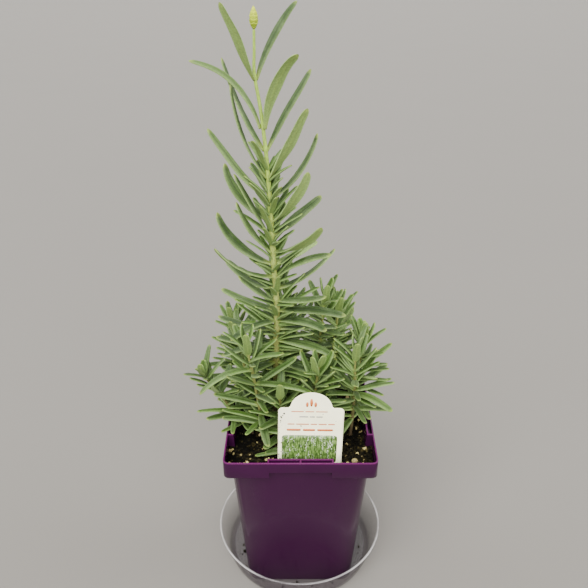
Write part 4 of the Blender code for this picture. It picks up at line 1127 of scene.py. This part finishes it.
def bud_material():
    """Bud: yellow-green bracts with paler points, and painted shade where one comes out from under the next.
    """
    made, g, shader = new_material("bud_scales", Roughness=0.6, Specular_IOR_Level=0.3)
    step, along = g.number("across"), g.number("along")
    color = g.ramp(along, (0.0, BUD_FOOT), (0.55, BUD_BODY), (1.0, BUD_TIP))
    # painted shade in the recess under the edge of each bract
    color = g.mix(g.ramp(step, (0.0, 0.75), (0.25, 0.0)), color, BUD_GAP_SHADE)
    color = g.mix(g.math("MULTIPLY", g.ramp(step, (0.75, 0.0), (1.0, 1.0)), 0.5), color, BUD_TIP)
    felt = g.noise(g.place(), 1500, 3)
    color = g.mottle(color, felt, (0.35, 0.85), (0.65, 1.12))
    link(g, color, shader, "Base Color")
    link(g, g.bump(felt, 0.3, 0.0003), shader, "Normal")
    return made


def speckle_group():
    """Settled dust: specks and a thin film in patches.  Inputs: Amount, Fine.  Outputs: Mask, Height."""
    group = bpy.data.node_groups.new("settled_dust", "ShaderNodeTree")
    for name, kind, way in (("Amount", "NodeSocketFloat", "INPUT"), ("Fine", "NodeSocketFloat", "INPUT"),
                            ("Mask", "NodeSocketFloat", "OUTPUT"), ("Height", "NodeSocketFloat", "OUTPUT")):
        group.interface.new_socket(name, in_out=way, socket_type=kind)
    g = Graph(group)
    given, out = group.nodes.new("NodeGroupInput"), group.nodes.new("NodeGroupOutput")
    place = g.place()
    specks = g.node("ShaderNodeTexVoronoi", in_Vector=place, in_Scale=260.0, in_Randomness=1.0)
    dots = g.ramp(specks.outputs["Distance"], (0.05, 1.0), (0.11, 0.0))
    chosen = g.ramp(specks.outputs["Color"], (0.80, 0.0), (0.86, 1.0))
    film = g.ramp(g.noise(place, 34, 5, 0.65), (0.45, 0.0), (0.75, 1.0))
    grit = g.math("MULTIPLY", g.math("MULTIPLY", dots, chosen), given.outputs["Fine"])
    total = g.math("ADD", g.math("MULTIPLY", film, given.outputs["Amount"]), grit, clamp=True)
    group.links.new(total, out.inputs["Mask"])
    group.links.new(grit, out.inputs["Height"])
    return group


def pot_material(dust):
    """Moulded polypropylene: even colour, a painted highlight and glow along the thin top edge of the rim, a
    fine satin grain and a little dust."""
    made, g, shader = new_material("purple_plastic", Roughness=0.2, Specular_IOR_Level=0.20)
    place = g.place()
    speck = g.node("ShaderNodeGroup", node_tree=dust, in_Amount=0.008, in_Fine=0.15)
    flow = g.noise(place, 18, 3, 0.5)
    height = g.node("ShaderNodeSeparateXYZ", in_Vector=place).outputs["Z"]
    color = g.mix(g.ramp(flow, (0.35, 0.0), (0.7, 1.0)), POT_PURPLE, POT_PURPLE_LIGHT)
    # painted highlight and glow: the top 1.2 mm of the rim is lightened towards a bright magenta
    rim_highlight = g.math("MULTIPLY", g.math("SUBTRACT", height, RIM_TOP - 1.2 * MM), 1 / (1.0 * MM), clamp=True)
    color = g.mix(g.math("MULTIPLY", rim_highlight, 0.75), color, POT_RIM_HIGHLIGHT)
    color = g.mix(speck.outputs["Mask"], color, DUST)
    grain = g.noise(place, 2600, 2)
    link(g, color, shader, "Base Color")
    rough = g.math("ADD", g.math("MULTIPLY", speck.outputs["Mask"], 0.3),
                   g.math("MULTIPLY", g.noise(place, 40, 3), 0.10))
    link(g, g.math("ADD", rough, 0.14), shader, "Roughness")
    link(g, g.bump(grain, 0.06, 0.0001, g.bump(flow, 0.10, 0.0004)), shader, "Normal")
    return made


def clear_plastic_material(dust):
    """Thin clear sheet: nearly invisible face on, denser seen edge on, with fine dust.  Its dark purple tint
    is a painted reflection of the pot; it is denser low down and at the heel, painted shade over the floor;
    and its rolled edge carries a patchy painted highlight."""
    made, g, shader = new_material("clear_plastic", Roughness=0.10, IOR=1.46, Specular_IOR_Level=0.8)
    facing = g.node("ShaderNodeLayerWeight", in_Blend=0.3).outputs["Facing"]
    place = g.place()
    speck = g.node("ShaderNodeGroup", node_tree=dust, in_Amount=0.05, in_Fine=0.5)
    height = g.number("height")
    # painted highlight: a patchy bright band along the rolled edge
    edge = g.math("MULTIPLY", g.ramp(height, (0.965, 0.0), (0.99, 1.0)),
                  g.ramp(g.noise(place, 26, 3), (0.38, 0.45), (0.62, 1.0)))
    # painted shade: a denser, darker band at the heel, near the pot
    foot = g.math("MULTIPLY", g.ramp(height, (0.02, 0.0), (0.06, 1.0)),
                  g.ramp(height, (0.12, 1.0), (0.22, 0.0)))
    # painted shade: denser towards the floor, so that the dark tint darkens the floor seen through it
    solid = g.math("ADD", g.math("MULTIPLY", g.ramp(facing, (0.25, 0.0), (1.0, 1.0)), 0.24),
                   g.ramp(height, (0.1, 0.30), (0.5, 0.18), (0.95, 0.07)))
    solid = g.math("ADD", solid, g.math("MULTIPLY", g.math("ADD", edge, g.math("MULTIPLY", foot, 0.3)), 0.40))
    solid = g.math("ADD", solid, g.math("MULTIPLY", speck.outputs["Mask"], 0.5), clamp=True)
    link(g, solid, shader, "Alpha")
    color = g.mix(edge, SAUCER_SHADE_AND_REFLECTION, SAUCER_EDGE_HIGHLIGHT)
    link(g, g.mix(speck.outputs["Mask"], color, DUST), shader, "Base Color")
    link(g, g.bump(g.noise(place, 45, 3), 0.2, 0.001), shader, "Normal")
    return made


def mix_material():
    """Moist peat: almost black with brown crumbs and fibres, each crumb with its own tint."""
    made, g, shader = new_material("mix_crumb", Roughness=0.9, Specular_IOR_Level=0.08)
    place = g.place()
    crumb = g.noise(place, 420, 5, 0.65)
    patch = g.noise(place, 70, 3)
    color = g.ramp(g.math("ADD", g.math("MULTIPLY", crumb, 0.75), g.math("MULTIPLY", g.number("tint"), 0.25)),
                   (0.36, MIX_BLACK), (0.50, MIX_DARK), (0.64, MIX_BROWN), (0.80, MIX_TAN))
    color = g.mottle(color, patch, (0.3, 0.55), (0.7, 1.25))
    link(g, color, shader, "Base Color")
    link(g, g.ramp(crumb, (0.3, 0.95), (0.8, 0.55)), shader, "Roughness")
    link(g, g.bump(crumb, 0.8, 0.0012), shader, "Normal")
    return made


def bark_material():
    """Bark: tan to pale straw by piece, with long fibres."""
    made, g, shader = new_material("bark_flakes", Roughness=0.85)
    fibre = g.noise(g.stretched(g.place(), 0.35, 1.0, 1.0), 1100, 5, 0.65)
    color = g.mix(g.number("tint"), BARK_DARK, BARK_PALE)
    color = g.mottle(color, fibre, (0.3, 0.55), (0.7, 1.2))
    link(g, color, shader, "Base Color")
    link(g, g.bump(fibre, 0.7, 0.0006), shader, "Normal")
    return made


def label_material(dust):
    """Label sheet: off-white, unevenly creamy, dusty, and splashed with mud, most of all low down."""
    made, g, shader = new_material("label_sheet", Roughness=0.42)
    place = g.place()
    speck = g.node("ShaderNodeGroup", node_tree=dust, in_Amount=0.14, in_Fine=1.0)
    splash = g.node("ShaderNodeTexVoronoi", in_Vector=place, in_Scale=330.0)
    mud = g.math("MULTIPLY", g.ramp(splash.outputs["Distance"], (0.10, 1.0), (0.18, 0.0)),
                 g.ramp(splash.outputs["Color"], (0.78, 0.0), (0.84, 1.0)))
    low = g.ramp(g.number("height"), (0.0, 1.0), (0.5, 0.25), (1.0, 0.12))
    color = g.mix(g.ramp(g.noise(place, 40, 4), (0.4, 0.0), (0.7, 1.0)), LABEL_WHITE, LABEL_CREAM)
    color = g.mix(speck.outputs["Mask"], color, DUST)
    color = g.mix(g.math("MULTIPLY", mud, low), color, MIX_DARK)
    link(g, color, shader, "Base Color")
    link(g, g.math("ADD", g.math("MULTIPLY", g.noise(place, 300, 3), 0.2), 0.32), shader, "Roughness")
    link(g, g.bump(g.noise(place, 900, 2), 0.08, 0.0002), shader, "Normal")
    return made


def ink_material(name, color):
    """Printed ink: slightly uneven cover over the sheet."""
    made, g, shader = new_material(name, Roughness=0.4)
    cover = g.ramp(g.noise(g.place(), 1600, 3), (0.35, 0.0), (0.6, 1.0))
    link(g, g.mix(cover, tuple(min(1.0, c * 1.25 + 0.03) for c in color), color), shader, "Base Color")
    return made


def picture_material():
    """The printed panel: upright streaks of several greens, with pale flecks gathered into short spikes."""
    made, g, shader = new_material("ink_picture", Roughness=0.38)
    place = g.place()
    tall = g.stretched(place, 1.0, 0.2, 0.28)
    blades = g.noise(tall, 900, 4, 0.6)
    color = g.ramp(blades, (0.36, PICTURE_DEEP), (0.50, PICTURE_GREEN), (0.66, PICTURE_LIGHT))
    spikes = g.ramp(g.noise(tall, 480, 2), (0.52, 0.0), (0.60, 1.0))
    cells = g.node("ShaderNodeTexVoronoi", in_Vector=place, in_Scale=1150.0)
    flecks = g.ramp(cells.outputs["Distance"], (0.28, 1.0), (0.42, 0.0))
    color = g.mix(g.math("MULTIPLY", g.math("MULTIPLY", flecks, spikes), 0.9), color, PICTURE_FLECK)
    link(g, color, shader, "Base Color")
    return made


def floor_material():
    """Matt, even and pale."""
    made, g, shader = new_material("pale_floor", Roughness=0.75, Specular_IOR_Level=0.25)
    place = g.place()
    color = g.mix(g.noise(place, 3, 3), FLOOR_TONE, tuple(c * 0.96 for c in FLOOR_TONE))
    link(g, color, shader, "Base Color")
    link(g, g.bump(g.noise(place, 260, 3), 0.05, 0.001), shader, "Normal")
    return made


# ---------------------------------------------------------------- stage

def add_sun(name, elevation, azimuth, strength, spread, color):
    """A large, soft, distant light, at an angle above the floor and an angle to the right of the front."""
    data = bpy.data.lights.new(name, "SUN")
    data.energy, data.angle, data.color = strength, math.radians(spread), color
    obj = bpy.data.objects.new(name, data)
    bpy.context.scene.collection.objects.link(obj)
    e, a = math.radians(elevation), math.radians(azimuth)
    place = Vector((math.cos(e) * math.sin(a), -math.cos(e) * math.cos(a), math.sin(e)))
    obj.location = place * 2
    obj.rotation_euler = place.to_track_quat("Z", "Y").to_euler()


def build_stage():
    """A wide, flat, pale floor, an even pale surround and five large soft lights."""
    columns = 64
    t = around(columns)
    radii = np.array([0.5, 2.0, 8.0, 60.0])[:, None]
    rings = np.stack([radii * np.cos(t), radii * np.sin(t), 0 * radii * t], -1)
    verts = np.vstack([rings.reshape(-1, 3), [(0, 0, 0)]])
    faces = strip_faces(len(radii), columns) + fan_faces(np.arange(columns), len(radii) * columns, True)
    mesh = bpy.data.meshes.new("floor")
    mesh.from_pydata(verts, [], [f[::-1] for f in faces])
    obj = bpy.data.objects.new("floor", mesh)
    bpy.context.scene.collection.objects.link(obj)
    mesh.materials.append(floor_material())
    world = bpy.data.worlds.new("studio")
    bpy.context.scene.world = world
    world.use_nodes = True
    world.node_tree.nodes["Background"].inputs["Color"].default_value = (0.985, 0.98, 0.965, 1)
    world.node_tree.nodes["Background"].inputs["Strength"].default_value = 0.85
    for sun in SUNS:
        add_sun(*sun)


def build_camera():
    """The front view, a little from above."""
    data = bpy.data.cameras.new("camera")
    data.lens, data.sensor_width = CAMERA_LENS, 36.0
    data.clip_start, data.clip_end = 0.01, 50
    obj = bpy.data.objects.new("camera", data)
    bpy.context.scene.collection.objects.link(obj)
    obj.location = CAMERA_AT
    obj.rotation_euler = (math.radians(90 - CAMERA_TILT), 0, 0)
    bpy.context.scene.camera = obj


# ---------------------------------------------------------------- all of it

CAMERA_AT = (-0.0048, -0.417, 0.4583)
CAMERA_TILT = 26.7  # degrees downwards
CAMERA_LENS = 39.2
# The lights: name, angle above the floor, angle to the right of the front, strength, angular size, colour
SUNS = (
    ("key_light", 52, -28, 7.0, 45, (1.0, 0.985, 0.955)),
    ("fill_light", 20, 12, 4.5, 60, (1.0, 0.99, 0.97)),
    ("right_light", 28, 100, 2.6, 50, (1.0, 1.0, 1.0)),
    ("left_light", 28, -110, 1.6, 50, (0.97, 0.99, 1.0)),
    ("back_light", 35, 180, 1.0, 60, (1.0, 1.0, 1.0)),
)

# Colours, linear
FLOOR_TONE = (0.150, 0.141, 0.128)
DUST = (0.20, 0.17, 0.14)
LEAF_DARK = (0.0085, 0.0240, 0.0018)
LEAF_MIDDLE = (0.0190, 0.0420, 0.0050)
LEAF_LIGHT = (0.0620, 0.1080, 0.0220)
LEAF_GREY = (0.0720, 0.1100, 0.0380)
LEAF_PALE = (0.2100, 0.3100, 0.0850)
LEAF_YOUNG = (0.0520, 0.1150, 0.0090)
LEAF_UNDER = (0.1600, 0.2350, 0.0650)
# pale rolled margin, partly a painted sheen of the felt
LEAF_MARGIN_AND_SHEEN = (0.2400, 0.3500, 0.1150)
LEAF_RIB = (0.1900, 0.2700, 0.0550)
LEAF_TIP = (0.2200, 0.2800, 0.0450)
STEM_WOOD = (0.045, 0.030, 0.014)
STEM_MIDDLE = (0.110, 0.115, 0.028)
STEM_GREEN = (0.230, 0.265, 0.065)
STEM_TOP = (0.240, 0.360, 0.045)
BUD_FOOT = (0.160, 0.240, 0.012)
BUD_BODY = (0.300, 0.370, 0.008)
BUD_TIP = (0.400, 0.450, 0.010)
# painted shade under the bracts' edges
BUD_GAP_SHADE = (0.070, 0.110, 0.006)
POT_PURPLE = (0.0200, 0.0022, 0.0180)
POT_PURPLE_LIGHT = (0.0225, 0.0026, 0.0200)
# painted highlight and glow of the rim's top edge
POT_RIM_HIGHLIGHT = (0.0850, 0.0060, 0.0650)
# painted reflection of the purple pot, and painted shade over the floor
SAUCER_SHADE_AND_REFLECTION = (0.050, 0.038, 0.049)
# painted highlight of the rolled edge
SAUCER_EDGE_HIGHLIGHT = (0.50, 0.48, 0.48)
MIX_BLACK = (0.0012, 0.0010, 0.0005)
MIX_DARK = (0.0040, 0.0034, 0.0015)
MIX_BROWN = (0.0300, 0.0235, 0.0070)
MIX_TAN = (0.1300, 0.1000, 0.0330)
BARK_DARK = (0.110, 0.078, 0.026)
BARK_PALE = (0.600, 0.500, 0.190)
LABEL_WHITE = (1.000, 0.970, 0.700)
LABEL_CREAM = (0.940, 0.905, 0.620)
INK_ORANGE = (0.46, 0.110, 0.020)
INK_GREY = (0.16, 0.165, 0.16)
INK_EYE = (0.03, 0.025, 0.02)
PICTURE_DEEP = (0.012, 0.030, 0.006)
PICTURE_GREEN = (0.06, 0.12, 0.02)
PICTURE_LIGHT = (0.20, 0.30, 0.09)
PICTURE_FLECK = (0.72, 0.75, 0.66)

DICE = np.random.default_rng(20)


def main():
    """Build every piece, the camera, the floor and the lights."""
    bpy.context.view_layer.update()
    build_camera()
    dust = speckle_group()
    leaf_felt, stem_bark = leaf_felt_material(), stem_bark_material()
    mix_crumb, bark_flakes = mix_material(), bark_material()
    thicket = Thicket()
    main_leaves, young, shoots = grow_plant(thicket)
    build_main_leaves(main_leaves, leaf_felt)
    build_main_stem(thicket, young, stem_bark, leaf_felt)
    build_shoots(thicket, shoots, stem_bark, leaf_felt)
    build_bud(bud_material())
    build_pot(pot_material(dust))
    build_saucer(clear_plastic_material(dust))
    build_label(label_material(dust), {
        "orange": ink_material("ink_orange", INK_ORANGE), "grey": ink_material("ink_grey", INK_GREY),
        "picture": picture_material(), "eye": ink_material("punched_eye", INK_EYE)})
    build_mix(mix_crumb, bark_flakes)
    build_stray_crumbs(mix_crumb)
    build_chips(bark_flakes)
    build_stage()
    bpy.context.view_layer.update()


main()
